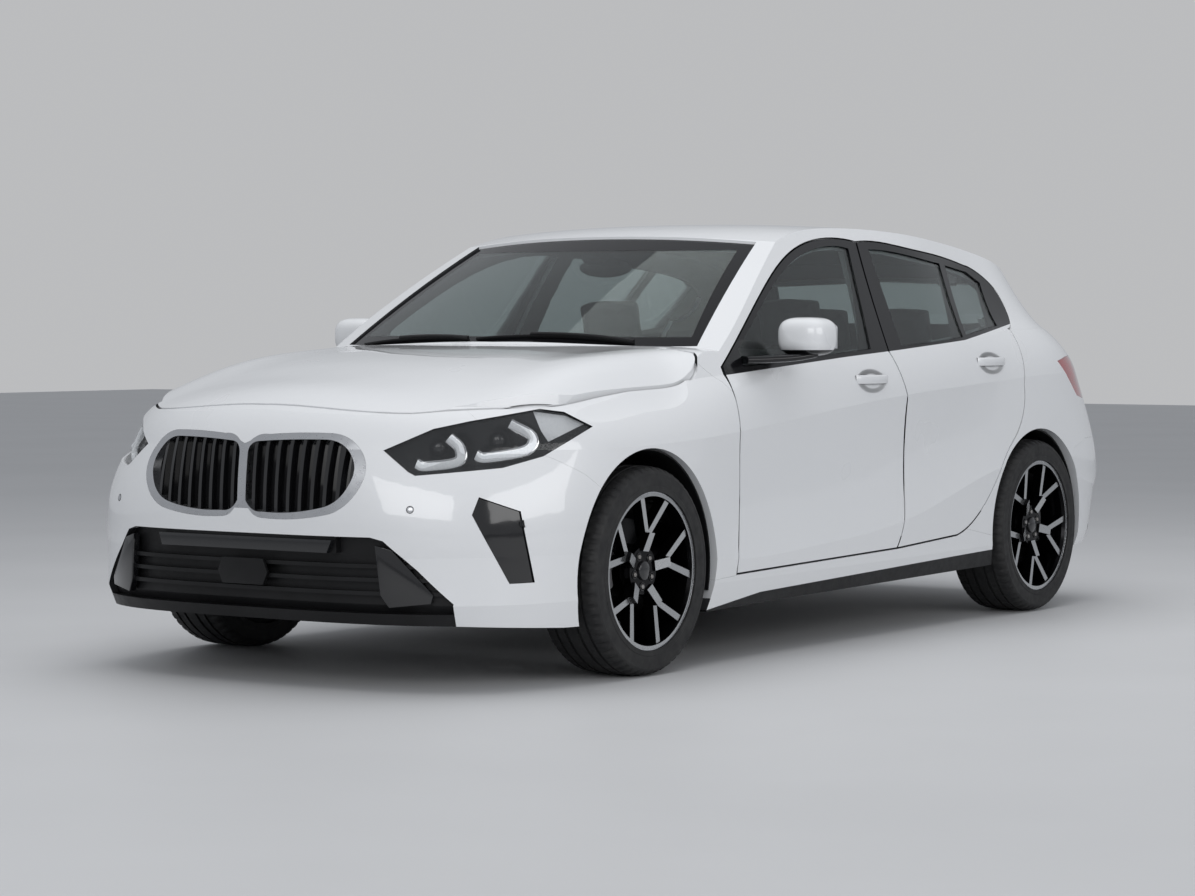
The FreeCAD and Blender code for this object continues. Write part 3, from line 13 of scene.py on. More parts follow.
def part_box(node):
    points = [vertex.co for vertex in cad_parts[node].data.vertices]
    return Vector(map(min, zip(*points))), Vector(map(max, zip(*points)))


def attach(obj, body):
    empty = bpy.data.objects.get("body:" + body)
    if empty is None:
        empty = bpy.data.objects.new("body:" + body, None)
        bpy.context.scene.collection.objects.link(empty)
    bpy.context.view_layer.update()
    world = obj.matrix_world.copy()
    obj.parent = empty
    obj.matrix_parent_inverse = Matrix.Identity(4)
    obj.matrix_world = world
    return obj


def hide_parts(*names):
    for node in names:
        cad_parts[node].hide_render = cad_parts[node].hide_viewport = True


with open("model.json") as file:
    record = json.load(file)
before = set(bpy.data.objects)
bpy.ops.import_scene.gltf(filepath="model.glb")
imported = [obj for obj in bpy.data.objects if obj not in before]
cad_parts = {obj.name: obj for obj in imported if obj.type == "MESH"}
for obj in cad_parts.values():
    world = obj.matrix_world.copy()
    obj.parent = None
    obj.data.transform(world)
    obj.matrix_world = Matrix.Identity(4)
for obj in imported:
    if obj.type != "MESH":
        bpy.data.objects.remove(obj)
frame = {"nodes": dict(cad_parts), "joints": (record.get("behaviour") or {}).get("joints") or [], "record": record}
nodes = frame["nodes"]
places = {joint["name"]: Vector(joint["pos_m"]) for joint in frame["joints"]}
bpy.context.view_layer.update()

scene = bpy.context.scene
scene.view_settings.view_transform = "Standard"

SIDES = {"left": 1.0, "right": -1.0}
ENDS = ("front", "rear")

# Camera
CAMERA_PLACE = Vector((6.1314, -9.2226, 1.0837))
CAMERA_TURN = 34.45
CAMERA_RAISE = 2.27
FOCAL_PIXELS = 3085.4
PICTURE_WIDTH = 1195.0
SENSOR = 36.0
FAR_CLIP = 200.0


def add_camera():
    data = bpy.data.cameras.new("camera")
    data.sensor_width = SENSOR
    data.lens = SENSOR * FOCAL_PIXELS / PICTURE_WIDTH
    data.clip_end = FAR_CLIP
    camera = bpy.data.objects.new("camera", data)
    turn = math.radians(CAMERA_TURN)
    rise = math.radians(CAMERA_RAISE)
    back = Vector((math.sin(turn) * math.cos(rise), -math.cos(turn) * math.cos(rise), math.sin(rise)))
    camera.rotation_mode = "QUATERNION"
    camera.rotation_quaternion = (-back).to_track_quat("-Z", "Y")
    camera.location = CAMERA_PLACE
    scene.collection.objects.link(camera)
    scene.camera = camera


add_camera()

# Finishes
MIDDLE_Z = 0.62
INWARD = -0.12


class Finish:
    """A material with one Principled shader and the nodes that vary it."""

    def __init__(self, colour, roughness, **sockets):
        self.material = bpy.data.materials.new("finish")
        self.material.use_nodes = True
        self.tree = self.material.node_tree
        self.shader = self.tree.nodes["Principled BSDF"]
        self.shader.inputs["Base Color"].default_value = (*colour, 1.0)
        self.shader.inputs["Roughness"].default_value = roughness
        for key, value in sockets.items():
            self.shader.inputs[key.replace("_", " ")].default_value = value
        self.colour = colour
        self.roughness = roughness
        coordinates = self.node("ShaderNodeTexCoord")
        self.place = coordinates.outputs["Object"]
        self.facing = coordinates.outputs["Normal"]
        self.normal = None

    def node(self, kind, **settings):
        made = self.tree.nodes.new(kind)
        for key, value in settings.items():
            setattr(made, key, value)
        return made

    def link(self, a, b):
        self.tree.links.new(a, b)

    def noise(self, scale, detail=3.0):
        made = self.node("ShaderNodeTexNoise")
        made.inputs["Scale"].default_value = scale
        made.inputs["Detail"].default_value = detail
        self.link(self.place, made.inputs["Vector"])
        return made.outputs["Fac"]

    def cells(self, scale):
        made = self.node("ShaderNodeTexVoronoi")
        made.inputs["Scale"].default_value = scale
        self.link(self.place, made.inputs["Vector"])
        return made.outputs["Distance"]

    def remap(self, value, low, high, start=0.0, end=1.0, **settings):
        """The value, carried from between start and end to between low and high."""
        made = self.node("ShaderNodeMapRange", **settings)
        made.inputs["From Min"].default_value = start
        made.inputs["From Max"].default_value = end
        made.inputs["To Min"].default_value = low
        made.inputs["To Max"].default_value = high
        self.link(value, made.inputs["Value"])
        return made.outputs["Result"]

    def calc(self, operation, a, b=0.0):
        """Result of the operation on sockets or numbers."""
        made = self.node("ShaderNodeMath", operation=operation)
        for socket, value in zip(made.inputs, (a, b)):
            if isinstance(value, float):
                socket.default_value = value
            else:
                self.link(value, socket)
        return made.outputs["Value"]

    def axes(self, vector):
        """The x, y and z of a vector."""
        made = self.node("ShaderNodeSeparateXYZ")
        self.link(vector, made.inputs["Vector"])
        return made.outputs["X"], made.outputs["Y"], made.outputs["Z"]

    def inner_side(self):
        """1 where the surface looks towards the middle of the car, else 0."""
        x, _, z = self.axes(self.place)
        across, _, upward = self.axes(self.facing)
        outwards = self.calc("MULTIPLY", x, across)
        upwards = self.calc("MULTIPLY", self.calc("SUBTRACT", z, MIDDLE_Z), upward)
        return self.calc("LESS_THAN", self.calc("ADD", outwards, upwards), INWARD)

    def above_line(self, knots):
        """1 where z is above the line through the (y, z) knots, else 0."""
        low, high = knots[0][0], knots[-1][0]
        bottom, top = knots[0][1], knots[-1][1]
        _, y, z = self.axes(self.place)
        line = self.node("ShaderNodeFloatCurve")
        points = line.mapping.curves[0].points
        for _ in knots[2:]:
            points.new(0.5, 0.5)
        for point, (a, b) in zip(points, knots):
            point.location = ((a - low) / (high - low), (b - bottom) / (top - bottom))
            point.handle_type = "VECTOR"
        line.mapping.update()
        self.link(self.remap(y, 0.0, 1.0, low, high), line.inputs["Value"])
        height = self.remap(z, 0.0, 1.0, bottom, top, clamp=False)
        return self.calc("GREATER_THAN", height, line.outputs["Value"])

    def overlay(self, mask, colour, roughness, coat=None):
        """Another colour, roughness and coat where the mask is 1."""
        changes = {"Base Color": ("RGBA", (*colour, 1.0)), "Roughness": ("FLOAT", roughness)}
        if coat is not None:
            changes["Coat Weight"] = ("FLOAT", coat)
        for name, (kind, value) in changes.items():
            socket = self.shader.inputs[name]
            mix = self.node("ShaderNodeMix", data_type=kind)
            factor, before, after = [each for each in mix.inputs if each.enabled]
            result = next(each for each in mix.outputs if each.enabled)
            if socket.is_linked:
                self.link(socket.links[0].from_socket, before)
            else:
                before.default_value = socket.default_value
            after.default_value = value
            self.link(mask, factor)
            self.link(result, socket)
        return self

    def shade(self, value, other, low=0.35, high=0.65):
        """Base colour drifts from its own to the other with value."""
        ramp = self.node("ShaderNodeValToRGB")
        for stop, place, colour in zip(ramp.color_ramp.elements, (low, high), (self.colour, other)):
            stop.position = place
            stop.color = (*colour, 1.0)
        self.link(value, ramp.inputs["Fac"])
        self.link(ramp.outputs["Color"], self.shader.inputs["Base Color"])
        return self

    def vary(self, value, spread):
        """Roughness drifts by the spread either side of its own."""
        low = max(0.0, self.roughness - spread)
        high = self.roughness + spread
        self.link(self.remap(value, low, high, 0.3, 0.7), self.shader.inputs["Roughness"])
        return self

    def bump(self, height, distance, strength=1.0):
        made = self.node("ShaderNodeBump")
        made.inputs["Strength"].default_value = strength
        made.inputs["Distance"].default_value = distance
        self.link(height, made.inputs["Height"])
        if self.normal:
            self.link(self.normal, made.inputs["Normal"])
        self.normal = made.outputs["Normal"]
        self.link(self.normal, self.shader.inputs["Normal"])
        return self


finishes = {}


def finish(describe):
    """Makes the finish that the function describes, and keeps it under the function's name."""
    made = describe()
    made.material.name = describe.__name__
    finishes[describe.__name__] = made
    return describe


# Colours, and what the finishes follow: belt, handle hollows, mirror parting, spoke faces, screen border
WHITE = (0.76, 0.77, 0.785)
WHITE_FLAKE = (0.73, 0.745, 0.765)
TRIM = (0.030, 0.031, 0.034)
BLACK = (0.006, 0.006, 0.007)
GLASS = (0.50, 0.56, 0.55)
GLASS_DRIFT = (0.48, 0.545, 0.535)
GLASS_IOR = 1.45
BELT = [(-0.80, 0.921), (-0.544, 0.940), (0.011, 0.977), (0.379, 0.998), (0.888, 1.031), (1.40, 1.094)]
HANDLES = {"front": (0.131, 0.892), "rear": (1.032, 0.945)}
HOLLOW_TALL = 0.043
HOLLOW_FLOOR = 0.55
HOLLOW_STRETCH = 2.4
HOLLOW_DEPTH = 0.030
MIRROR_PARTING = 1.004
SPOKE_FACE = places["roll_front_left"].x + 0.0755
SPOKE_FLAT = 0.80
BORDER = 0.062
SCREEN_FOOT = (0.752, 1.021)
SCREEN_HEAD = (0.600, 1.372)
BORDER_TOP = 1.345
BORDER_FOOT = 1.045


def painted():
    """White paint with a fine flake under a clear coat."""
    paint = Finish(WHITE, 0.30, Coat_Weight=1.0, Coat_Roughness=0.03)
    paint.shade(paint.noise(5000.0, 1.0), WHITE_FLAKE).vary(paint.noise(2.5), 0.03)
    return paint.bump(paint.noise(260.0, 1.0), 0.000012)


def hollow(paint, y, z):
    """Oval hollow behind a door handle, as a dip in the surface."""
    _, along, upward = paint.axes(paint.place)
    flat = paint.node("ShaderNodeCombineXYZ")
    paint.link(paint.calc("DIVIDE", along, HOLLOW_STRETCH), flat.inputs["Y"])
    paint.link(upward, flat.inputs["Z"])
    away = paint.node("ShaderNodeVectorMath", operation="DISTANCE")
    paint.link(flat.outputs["Vector"], away.inputs[0])
    away.inputs[1].default_value = (0.0, y / HOLLOW_STRETCH, z)
    floor = HOLLOW_TALL * HOLLOW_FLOOR
    dip = paint.remap(away.outputs["Value"], 0.0, 1.0, floor, HOLLOW_TALL, interpolation_type="SMOOTHSTEP")
    paint.bump(dip, HOLLOW_DEPTH)


@finish
def white_paint():
    paint = painted()
    return paint.overlay(paint.inner_side(), TRIM, 0.65, 0.0)


@finish
def door_paint():
    """Gloss black above the belt line, trim on the inner side."""
    paint = painted()
    for y, z in HANDLES.values():
        hollow(paint, y, z)
    paint.overlay(paint.above_line(BELT), BLACK, 0.16, 0.0)
    return paint.overlay(paint.inner_side(), TRIM, 0.62, 0.0)


@finish
def mirror_paint():
    """Black below the parting line of the housing."""
    paint = painted()
    _, _, z = paint.axes(paint.place)
    return paint.overlay(paint.calc("LESS_THAN", z, MIRROR_PARTING), BLACK, 0.20, 0.0)


@finish
def black_plastic():
    made = Finish((0.007, 0.007, 0.0075), 0.42, Specular_IOR_Level=0.25)
    made.shade(made.noise(6.0), (0.011, 0.011, 0.012)).vary(made.noise(40.0), 0.06)
    return made.bump(made.cells(900.0), 0.00015, 0.6)


@finish
def gloss_black():
    made = Finish(BLACK, 0.10, Coat_Weight=0.6, Coat_Roughness=0.04)
    return made.vary(made.noise(14.0), 0.03).bump(made.noise(180.0, 1.0), 0.00001)


@finish
def satin_silver():
    made = Finish((0.62, 0.63, 0.65), 0.30, Metallic=1.0)
    made.shade(made.noise(9.0), (0.58, 0.59, 0.61)).vary(made.noise(60.0), 0.05)
    return made.bump(made.noise(900.0, 2.0), 0.00002, 0.4)


@finish
def bright_metal():
    made = Finish((0.80, 0.81, 0.82), 0.10, Metallic=1.0)
    return made.vary(made.noise(60.0), 0.04).bump(made.noise(400.0, 1.0), 0.00001)


@finish
def dark_metal():
    made = Finish((0.035, 0.035, 0.038), 0.45, Metallic=0.3)
    made.shade(made.noise(12.0), (0.05, 0.048, 0.046)).vary(made.noise(30.0), 0.1)
    return made.bump(made.noise(300.0, 4.0), 0.0002, 0.4)


@finish
def cast_metal():
    made = Finish((0.32, 0.32, 0.33), 0.55, Metallic=0.9)
    return made.shade(made.noise(20.0), (0.24, 0.24, 0.25)).bump(made.noise(350.0, 5.0), 0.0005, 0.5)


@finish
def steel():
    made = Finish((0.42, 0.41, 0.40), 0.35, Metallic=1.0)
    made.shade(made.noise(10.0), (0.30, 0.28, 0.26)).vary(made.noise(25.0), 0.1)
    return made.bump(made.noise(500.0, 3.0), 0.00008, 0.4)


@finish
def wheel_alloy():
    """Turned bright on the spokes' faces, black elsewhere."""
    made = Finish((0.50, 0.51, 0.52), 0.24, Metallic=0.9)
    made.vary(made.noise(30.0), 0.05).bump(made.noise(700.0, 2.0), 0.00003, 0.5)
    x, _, _ = made.axes(made.place)
    outward, _, _ = made.axes(made.facing)
    behind = made.calc("LESS_THAN", made.calc("ABSOLUTE", x), SPOKE_FACE)
    aside = made.calc("LESS_THAN", made.calc("ABSOLUTE", outward), SPOKE_FLAT)
    return made.overlay(made.calc("MAXIMUM", behind, aside), (0.012, 0.012, 0.013), 0.18)


@finish
def tyre():
    made = Finish((0.014, 0.014, 0.015), 0.62, Specular_IOR_Level=0.35)
    made.shade(made.noise(18.0), (0.022, 0.022, 0.022)).vary(made.noise(50.0), 0.08)
    return made.bump(made.noise(800.0, 3.0), 0.00012, 0.5)


@finish
def seat_fabric():
    made = Finish((0.022, 0.023, 0.025), 0.85, Sheen_Weight=0.25, Sheen_Roughness=0.5)
    return made.shade(made.noise(150.0), (0.032, 0.033, 0.036)).bump(made.cells(1100.0), 0.0004, 0.7)


@finish
def dash_plastic():
    made = Finish((0.024, 0.026, 0.028), 0.62)
    return made.shade(made.noise(8.0), (0.030, 0.032, 0.034)).bump(made.cells(500.0), 0.0003, 0.6)


@finish
def tinted_glass():
    made = Finish(GLASS, 0.0, Transmission_Weight=1.0, IOR=GLASS_IOR)
    return made.shade(made.noise(1.5), GLASS_DRIFT)


@finish
def screen_glass():
    """Tinted glass with an opaque black border."""
    made = Finish(GLASS, 0.0, Transmission_Weight=1.0, IOR=GLASS_IOR)
    made.shade(made.noise(1.5), GLASS_DRIFT)
    x, _, z = made.axes(made.place)
    foot, foot_z = SCREEN_FOOT
    head, head_z = SCREEN_HEAD
    clear_half = made.remap(z, foot - BORDER, head - BORDER, foot_z, head_z)
    aside = made.calc("GREATER_THAN", made.calc("ABSOLUTE", x), clear_half)
    above = made.calc("GREATER_THAN", z, BORDER_TOP)
    below = made.calc("LESS_THAN", z, BORDER_FOOT)
    border = made.calc("MAXIMUM", made.calc("MAXIMUM", aside, above), below)
    made.overlay(border, BLACK, 0.05)
    made.link(made.calc("SUBTRACT", 1.0, border), made.shader.inputs["Transmission Weight"])
    return made


@finish
def clear_glass():
    """Lamp cover, mostly open so that light reaches the lamp's inside."""
    made = Finish((0.10, 0.105, 0.11), 0.02, Alpha=0.16, Specular_IOR_Level=1.0)
    return made.shade(made.noise(3.0), (0.08, 0.085, 0.09))


@finish
def dark_gloss():
    made = Finish((0.009, 0.0095, 0.011), 0.18, Coat_Weight=0.5)
    return made.vary(made.noise(30.0), 0.06).bump(made.noise(200.0, 1.0), 0.00003)


@finish
def red_lamp():
    made = Finish((0.36, 0.008, 0.012), 0.08, Coat_Weight=1.0, Coat_Roughness=0.02)
    return made.shade(made.noise(30.0), (0.28, 0.005, 0.008)).bump(made.cells(120.0), 0.0004, 0.5)


@finish
def light_guide():
    glow = (0.9, 0.95, 1.0, 1.0)
    made = Finish((0.80, 0.82, 0.84), 0.25, Emission_Strength=0.08, Emission_Color=glow)
    return made.shade(made.noise(200.0), (0.70, 0.73, 0.76)).bump(made.cells(300.0), 0.0003, 0.4)


# Nodes whose finish isn't that of their slot, and the finish that each takes instead
SPECIAL = {f"door_{end}_{hand}": "door_paint" for end in ENDS for hand in SIDES}
SPECIAL |= {"windscreen": "screen_glass", "corner_vents": "gloss_black"}


def dress_nodes():
    """Each CAD node takes its special finish, or that of the record's material slot."""
    for part in frame["record"]["subparts"]:
        name = part["node"]
        materials = nodes[name].data.materials
        materials.clear()
        materials.append(finishes[SPECIAL.get(name, part["material_slot"])].material)


dress_nodes()

# Meshes
MERGE = 1e-6
HORIZONTAL = 0.9


class Surface:
    """The surface of some nodes, to seat details on."""

    def __init__(self, *names):
        work = bmesh.new()
        for name in names:
            work.from_mesh(nodes[name].data)
        self.tree = BVHTree.FromBMesh(work)
        work.free()

    def hit(self, place, heading):
        """(point, normal) where the line first meets it, the normal towards where it came from."""
        heading = Vector(heading).normalized()
        point, normal, _, _ = self.tree.ray_cast(Vector(place), heading)
        return point, (-normal if normal.dot(heading) > 0 else normal)


def piece(name, work, finish_name, body="chassis", sharp=35.0):
    """A finished mesh object on that body, smooth but for edges sharper than the angle."""
    bmesh.ops.remove_doubles(work, verts=work.verts, dist=MERGE)
    bmesh.ops.recalc_face_normals(work, faces=work.faces)
    mesh = bpy.data.meshes.new(name)
    work.to_mesh(mesh)
    work.free()
    mesh.materials.append(finishes[finish_name].material)
    mesh.shade_smooth()
    mesh.set_sharp_from_angle(angle=math.radians(sharp))
    made = bpy.data.objects.new(name, mesh)
    scene.collection.objects.link(made)
    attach(made, body)
    return made


def join(works):
    """One bmesh of several."""
    whole = bmesh.new()
    for work in works:
        mesh = bpy.data.meshes.new("join")
        work.to_mesh(mesh)
        work.free()
        whole.from_mesh(mesh)
        bpy.data.meshes.remove(mesh)
    return whole


def on_side(work, hand):
    """The shape as made on the left, or its mirror image for the right."""
    if hand == "right":
        bmesh.ops.scale(work, verts=work.verts, vec=(-1.0, 1.0, 1.0))
        bmesh.ops.reverse_faces(work, faces=work.faces)
    return work


def skin(work, rings, closed=False):
    """Faces between rings of vertices, and over both ends unless the rings close on themselves."""
    count = len(rings[0])
    following = rings[1:] + rings[:1] if closed else rings[1:]
    for low, high in zip(rings, following):
        for j in range(count):
            m = (j + 1) % count
            work.faces.new((low[j], low[m], high[m], high[j]))
    if not closed:
        work.faces.new(rings[0][::-1])
        work.faces.new(rings[-1])
    return work


def turned(outlines, place, axis, segments=48, start=0.0, sweep=360.0):
    """Closed (radius, along) outline revolved about an axis; several outlines take turns round it."""
    axis = Vector(axis).normalized()
    side = Vector((0, 1, 0)) if abs(axis.y) < HORIZONTAL else Vector((1, 0, 0))
    side = (side - axis * side.dot(axis)).normalized()
    other = axis.cross(side)
    closed = sweep == 360.0
    work = bmesh.new()
    rings = []
    for k in range(segments if closed else segments + 1):
        angle = math.radians(start + sweep * k / segments)
        out = side * math.cos(angle) + other * math.sin(angle)
        outline = outlines[k % len(outlines)]
        rings.append([work.verts.new(Vector(place) + out * r + axis * a) for r, a in outline])
    return skin(work, rings, closed)


def bar(path, outline, up):
    """Outline swept along a path of points, its second axis towards up."""
    work = bmesh.new()
    rings = []
    last = len(path) - 1
    for k, place in enumerate(path):
        along = (path[min(k + 1, last)] - path[max(k - 1, 0)]).normalized()
        across = along.cross(Vector(up)).normalized()
        rise = across.cross(along)
        rings.append([work.verts.new(place + across * a + rise * b) for a, b in outline])
    return skin(work, rings)


def signed_power(value, power):
    return math.copysign(abs(value) ** power, value)


def oval(width, height, count=12, power=2.0):
    """Points of a rounded outline; the higher the power, the squarer."""
    points = []
    for k in range(count):
        angle = 2 * math.pi * k / count
        points.append((0.5 * width * signed_power(math.cos(angle), 2 / power),
                       0.5 * height * signed_power(math.sin(angle), 2 / power)))
    return points


def slab(outline, depth, bevel=0.002):
    """Flat panel of that outline, as thick as the depth vector, with rounded edges."""
    work = bmesh.new()
    low = [work.verts.new(Vector(place)) for place in outline]
    high = [work.verts.new(Vector(place) + Vector(depth)) for place in outline]
    work.faces.new(low)
    work.faces.new(high[::-1])
    count = len(outline)
    for j in range(count):
        m = (j + 1) % count
        work.faces.new((low[j], high[j], high[m], low[m]))
    bmesh.ops.bevel(work, geom=work.edges[:], offset=bevel, segments=2, affect="EDGES", profile=0.6)
    return work


def smoothed(path, steps=5):
    """Points of the Catmull-Rom curve through the given ones."""
    path = [Vector(place) for place in path]
    ends = [2 * path[0] - path[1]] + path + [2 * path[-1] - path[-2]]
    made = []
    for a, b, c, d in zip(ends, ends[1:], ends[2:], ends[3:]):
        for step in range(steps):
            t = step / steps
            square = (2 * a - 5 * b + 4 * c - d) * t ** 2
            cube = (3 * b - a - 3 * c + d) * t ** 3
            made.append(0.5 * (2 * b + (c - a) * t + square + cube))
    made.append(path[-1])
    return made


def steps_of(count):
    """Even steps from 0 to 1."""
    return [k / count for k in range(count + 1)]


# Wheels: treaded tyres, caps, bolts, rim lips, valves and calipers. Outlines are (radius, along the axle).
SIDEWALL = [(0.2468, 0.1125), (0.256, 0.1118), (0.262, 0.1122), (0.264, 0.1108), (0.275, 0.1122),
            (0.287, 0.1124), (0.300, 0.1106), (0.302, 0.1112), (0.308, 0.1090)]
SHOULDER = [(0.3155, 0.1030), (0.3200, 0.0960), (0.3228, 0.0880), (0.3243, 0.0760)]
OUTER_GROOVE = [(0.3250, 0.0660), (0.3185, 0.0650), (0.3185, 0.0570), (0.3255, 0.0560)]
RIB = [(0.3258, 0.0440), (0.3259, 0.0300)]
INNER_GROOVE = [(0.3190, 0.0290), (0.3190, 0.0200), (0.3260, 0.0190), (0.3260, 0.0080)]
SHOULDER_SPAN = (0.068, 0.106)
SHOULDER_CUT = 0.0045
RIB_SPAN = (0.032, 0.054)
RIB_CUT = 0.0030
PITCHES = 60
BLOCK_RINGS = 3
CUT_RINGS = 2
TYRE_SHARP = 28.0

SPOKES = 5
SPOKE_STEP = 360.0 / SPOKES
FIRST_SPOKE = {"front": 83.0, "rear": 58.0}
CAP_OUT = 0.075
CAP = [(0.0, 0.0105), (0.012, 0.0100), (0.022, 0.0085), (0.0285, 0.006), (0.0305, 0.002), (0.0305, -0.002),
       (0.0, -0.002)]
BOLT_OUT = 0.0745
BOLT_CIRCLE = 0.050
BOLT = [(0.0, 0.005), (0.0065, 0.005), (0.0080, 0.0035), (0.0080, -0.001), (0.0, -0.001)]
BOLT_SEAT = [(0.0105, 0.0), (0.0115, 0.0022), (0.0130, 0.0022), (0.0140, 0.0), (0.0140, -0.001),
             (0.0105, -0.001)]
LIP_OUT = 0.104
LIP = [(0.2445, 0.0), (0.2455, 0.0022), (0.2425, 0.0022), (0.2405, 0.0005), (0.2405, -0.003),
       (0.2445, -0.003)]
VALVE_OUT = 0.053
VALVE_CIRCLE = 0.222
VALVE_LEAN = 0.25
VALVE = [(0.0, 0.0), (0.0028, 0.0), (0.0032, 0.002), (0.0032, 0.018), (0.004, 0.019), (0.004, 0.030),
         (0.003, 0.032), (0.0, 0.032)]
CALIPER = [(0.108, 0.011), (0.108, 0.030), (0.122, 0.036), (0.160, 0.036), (0.172, 0.028), (0.176, 0.010),
           (0.176, -0.040), (0.168, -0.052), (0.120, -0.052), (0.108, -0.046), (0.108, -0.026),
           (0.1625, -0.026), (0.1625, 0.011)]
CALIPER_START = {"front": 150.0, "rear": -25.0}
CALIPER_SWEEP = 52.0
CALIPER_SHARP = 40.0


def tyre_outline(cut):
    """Outline of the tyre; where cut, the grooves across its shoulders and ribs are dug."""
    half = []
    for r, x in SIDEWALL + SHOULDER + OUTER_GROOVE + RIB + INNER_GROOVE:
        if cut and SHOULDER_SPAN[0] < x < SHOULDER_SPAN[1]:
            r -= SHOULDER_CUT
        if cut and RIB_SPAN[0] < x < RIB_SPAN[1]:
            r -= RIB_CUT
        half.append((r, x))
    return half + [(r, -x) for r, x in reversed(half)]


def add_tyre(end, hand):
    pattern = [tyre_outline(False)] * BLOCK_RINGS + [tyre_outline(True)] * CUT_RINGS
    work = turned(pattern, places[f"roll_{end}_{hand}"], (1, 0, 0), PITCHES * len(pattern))
    made = piece(f"tyre_tread_{end}_{hand}", work, "tyre", f"{end}_wheel_{hand}", TYRE_SHARP)
    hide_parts(f"tyre_{end}_{hand}")


def between_spokes(end, k=0):
    """Angle of the middle of a gap between spokes."""
    return math.radians(FIRST_SPOKE[end] + SPOKE_STEP * (k + 0.5))


def add_wheel_trim(end, hand):
    """Cap, bolts in raised seats, rim lip and valve."""
    side = SIDES[hand]
    body = f"{end}_wheel_{hand}"
    centre = places[f"roll_{end}_{hand}"]
    axis = Vector((side, 0, 0))

    def at(out, radius=0.0, angle=0.0):
        return centre + axis * out + Vector((0, radius * math.cos(angle), radius * math.sin(angle)))

    piece(f"wheel_cap_{end}_{hand}", turned([CAP], at(CAP_OUT), axis), "dark_gloss", body)
    spots = [at(BOLT_OUT, BOLT_CIRCLE, between_spokes(end, k)) for k in range(SPOKES)]
    bolts = join([turned([BOLT], spot, axis, 6) for spot in spots])
    piece(f"wheel_bolts_{end}_{hand}", bolts, "steel", body, 25.0)
    seats = join([turned([BOLT_SEAT], spot, axis, 24) for spot in spots])
    piece(f"bolt_seats_{end}_{hand}", seats, "gloss_black", body)
    piece(f"rim_lip_{end}_{hand}", turned([LIP], at(LIP_OUT), axis, 96), "satin_silver", body)
    angle = between_spokes(end)
    inwards = (VALVE_LEAN * side, -math.cos(angle), -math.sin(angle))
    valve = turned([VALVE], at(VALVE_OUT, VALVE_CIRCLE, angle), inwards, 16)
    piece(f"valve_{end}_{hand}", valve, "black_plastic", body)


def add_caliper(end, hand):
    """Floating caliper round the edge of the brake disc."""
    side = SIDES[hand]
    start = CALIPER_START[end] if side > 0 else -CALIPER_START[end] - CALIPER_SWEEP
    work = turned([CALIPER], places[f"roll_{end}_{hand}"], (side, 0, 0), 14, start, CALIPER_SWEEP)
    body = f"steer_arm_{hand}" if end == "front" else "chassis"
    piece(f"caliper_{end}_{hand}", work, "cast_metal", body, CALIPER_SHARP)


for end in ENDS:
    for hand in SIDES:
        add_tyre(end, hand)
        add_wheel_trim(end, hand)
        add_caliper(end, hand)

# Headlamps: light guides, projectors and reflector, at places on the lens that are set back into the lamp
LAMP_TURN = math.radians(34.45)
LAMP_OUT = Vector((math.sin(LAMP_TURN), -math.cos(LAMP_TURN), 0.0))
GUIDES = [[(0.620, -1.965, 0.752), (0.652, -1.953, 0.719), (0.655, -1.972, 0.680), (0.591, -2.040, 0.668),
           (0.566, -2.052, 0.676)],
          [(0.722, -1.800, 0.790), (0.778, -1.765, 0.752), (0.781, -1.801, 0.712), (0.715, -1.907, 0.692),
           (0.690, -1.925, 0.700)]]
GUIDE_BACK = 0.016
GUIDE_SECTION = oval(0.024, 0.010, 16, 3.5)
GUIDE_FRAME_BACK = 0.026
GUIDE_FRAME_SECTION = oval(0.036, 0.014, 16, 4.0)
PROJECTORS = [(0.600, -1.990, 0.722), (0.722, -1.860, 0.742)]
PROJECTOR_BACK = 0.045
PROJECTOR = [(0.0, 0.012), (0.010, 0.0108), (0.018, 0.007), (0.023, 0.0), (0.023, -0.004), (0.0, -0.004)]
COWL = [(0.024, -0.006), (0.025, 0.004), (0.029, 0.013), (0.031, 0.013), (0.033, -0.008), (0.024, -0.008)]
REFLECTOR = [(0.735, -1.700, 0.826), (0.790, -1.610, 0.812), (0.826, -1.560, 0.786), (0.806, -1.660, 0.752),
             (0.792, -1.700, 0.735), (0.786, -1.730, 0.770)]
REFLECTOR_BACK = 0.020
REFLECTOR_THICK = 0.006


def set_back(outline, back):
    """Places on the lens, moved back into the lamp."""
    return [Vector(place) - LAMP_OUT * back for place in outline]


def add_headlamp(hand):
    """Everything behind the lens of one lamp."""
    for k, guide in enumerate(GUIDES):
        lit = bar(smoothed(set_back(guide, GUIDE_BACK)), GUIDE_SECTION, LAMP_OUT)
        piece(f"light_guide_{k}_{hand}", on_side(lit, hand), "light_guide")
        holder = bar(smoothed(set_back(guide, GUIDE_FRAME_BACK)), GUIDE_FRAME_SECTION, LAMP_OUT)
        piece(f"guide_frame_{k}_{hand}", on_side(holder, hand), "bright_metal")
    for k, centre in enumerate(set_back(PROJECTORS, PROJECTOR_BACK)):
        eye = turned([PROJECTOR], centre, LAMP_OUT, 32)
        piece(f"projector_{k}_{hand}", on_side(eye, hand), "dark_gloss")
        cowl = turned([COWL], centre, LAMP_OUT, 32)
        piece(f"projector_cowl_{k}_{hand}", on_side(cowl, hand), "gloss_black")
    plate = slab(set_back(REFLECTOR, REFLECTOR_BACK), -LAMP_OUT * REFLECTOR_THICK)
    piece(f"reflector_{hand}", on_side(plate, hand), "light_guide")


for hand in SIDES:
    add_headlamp(hand)

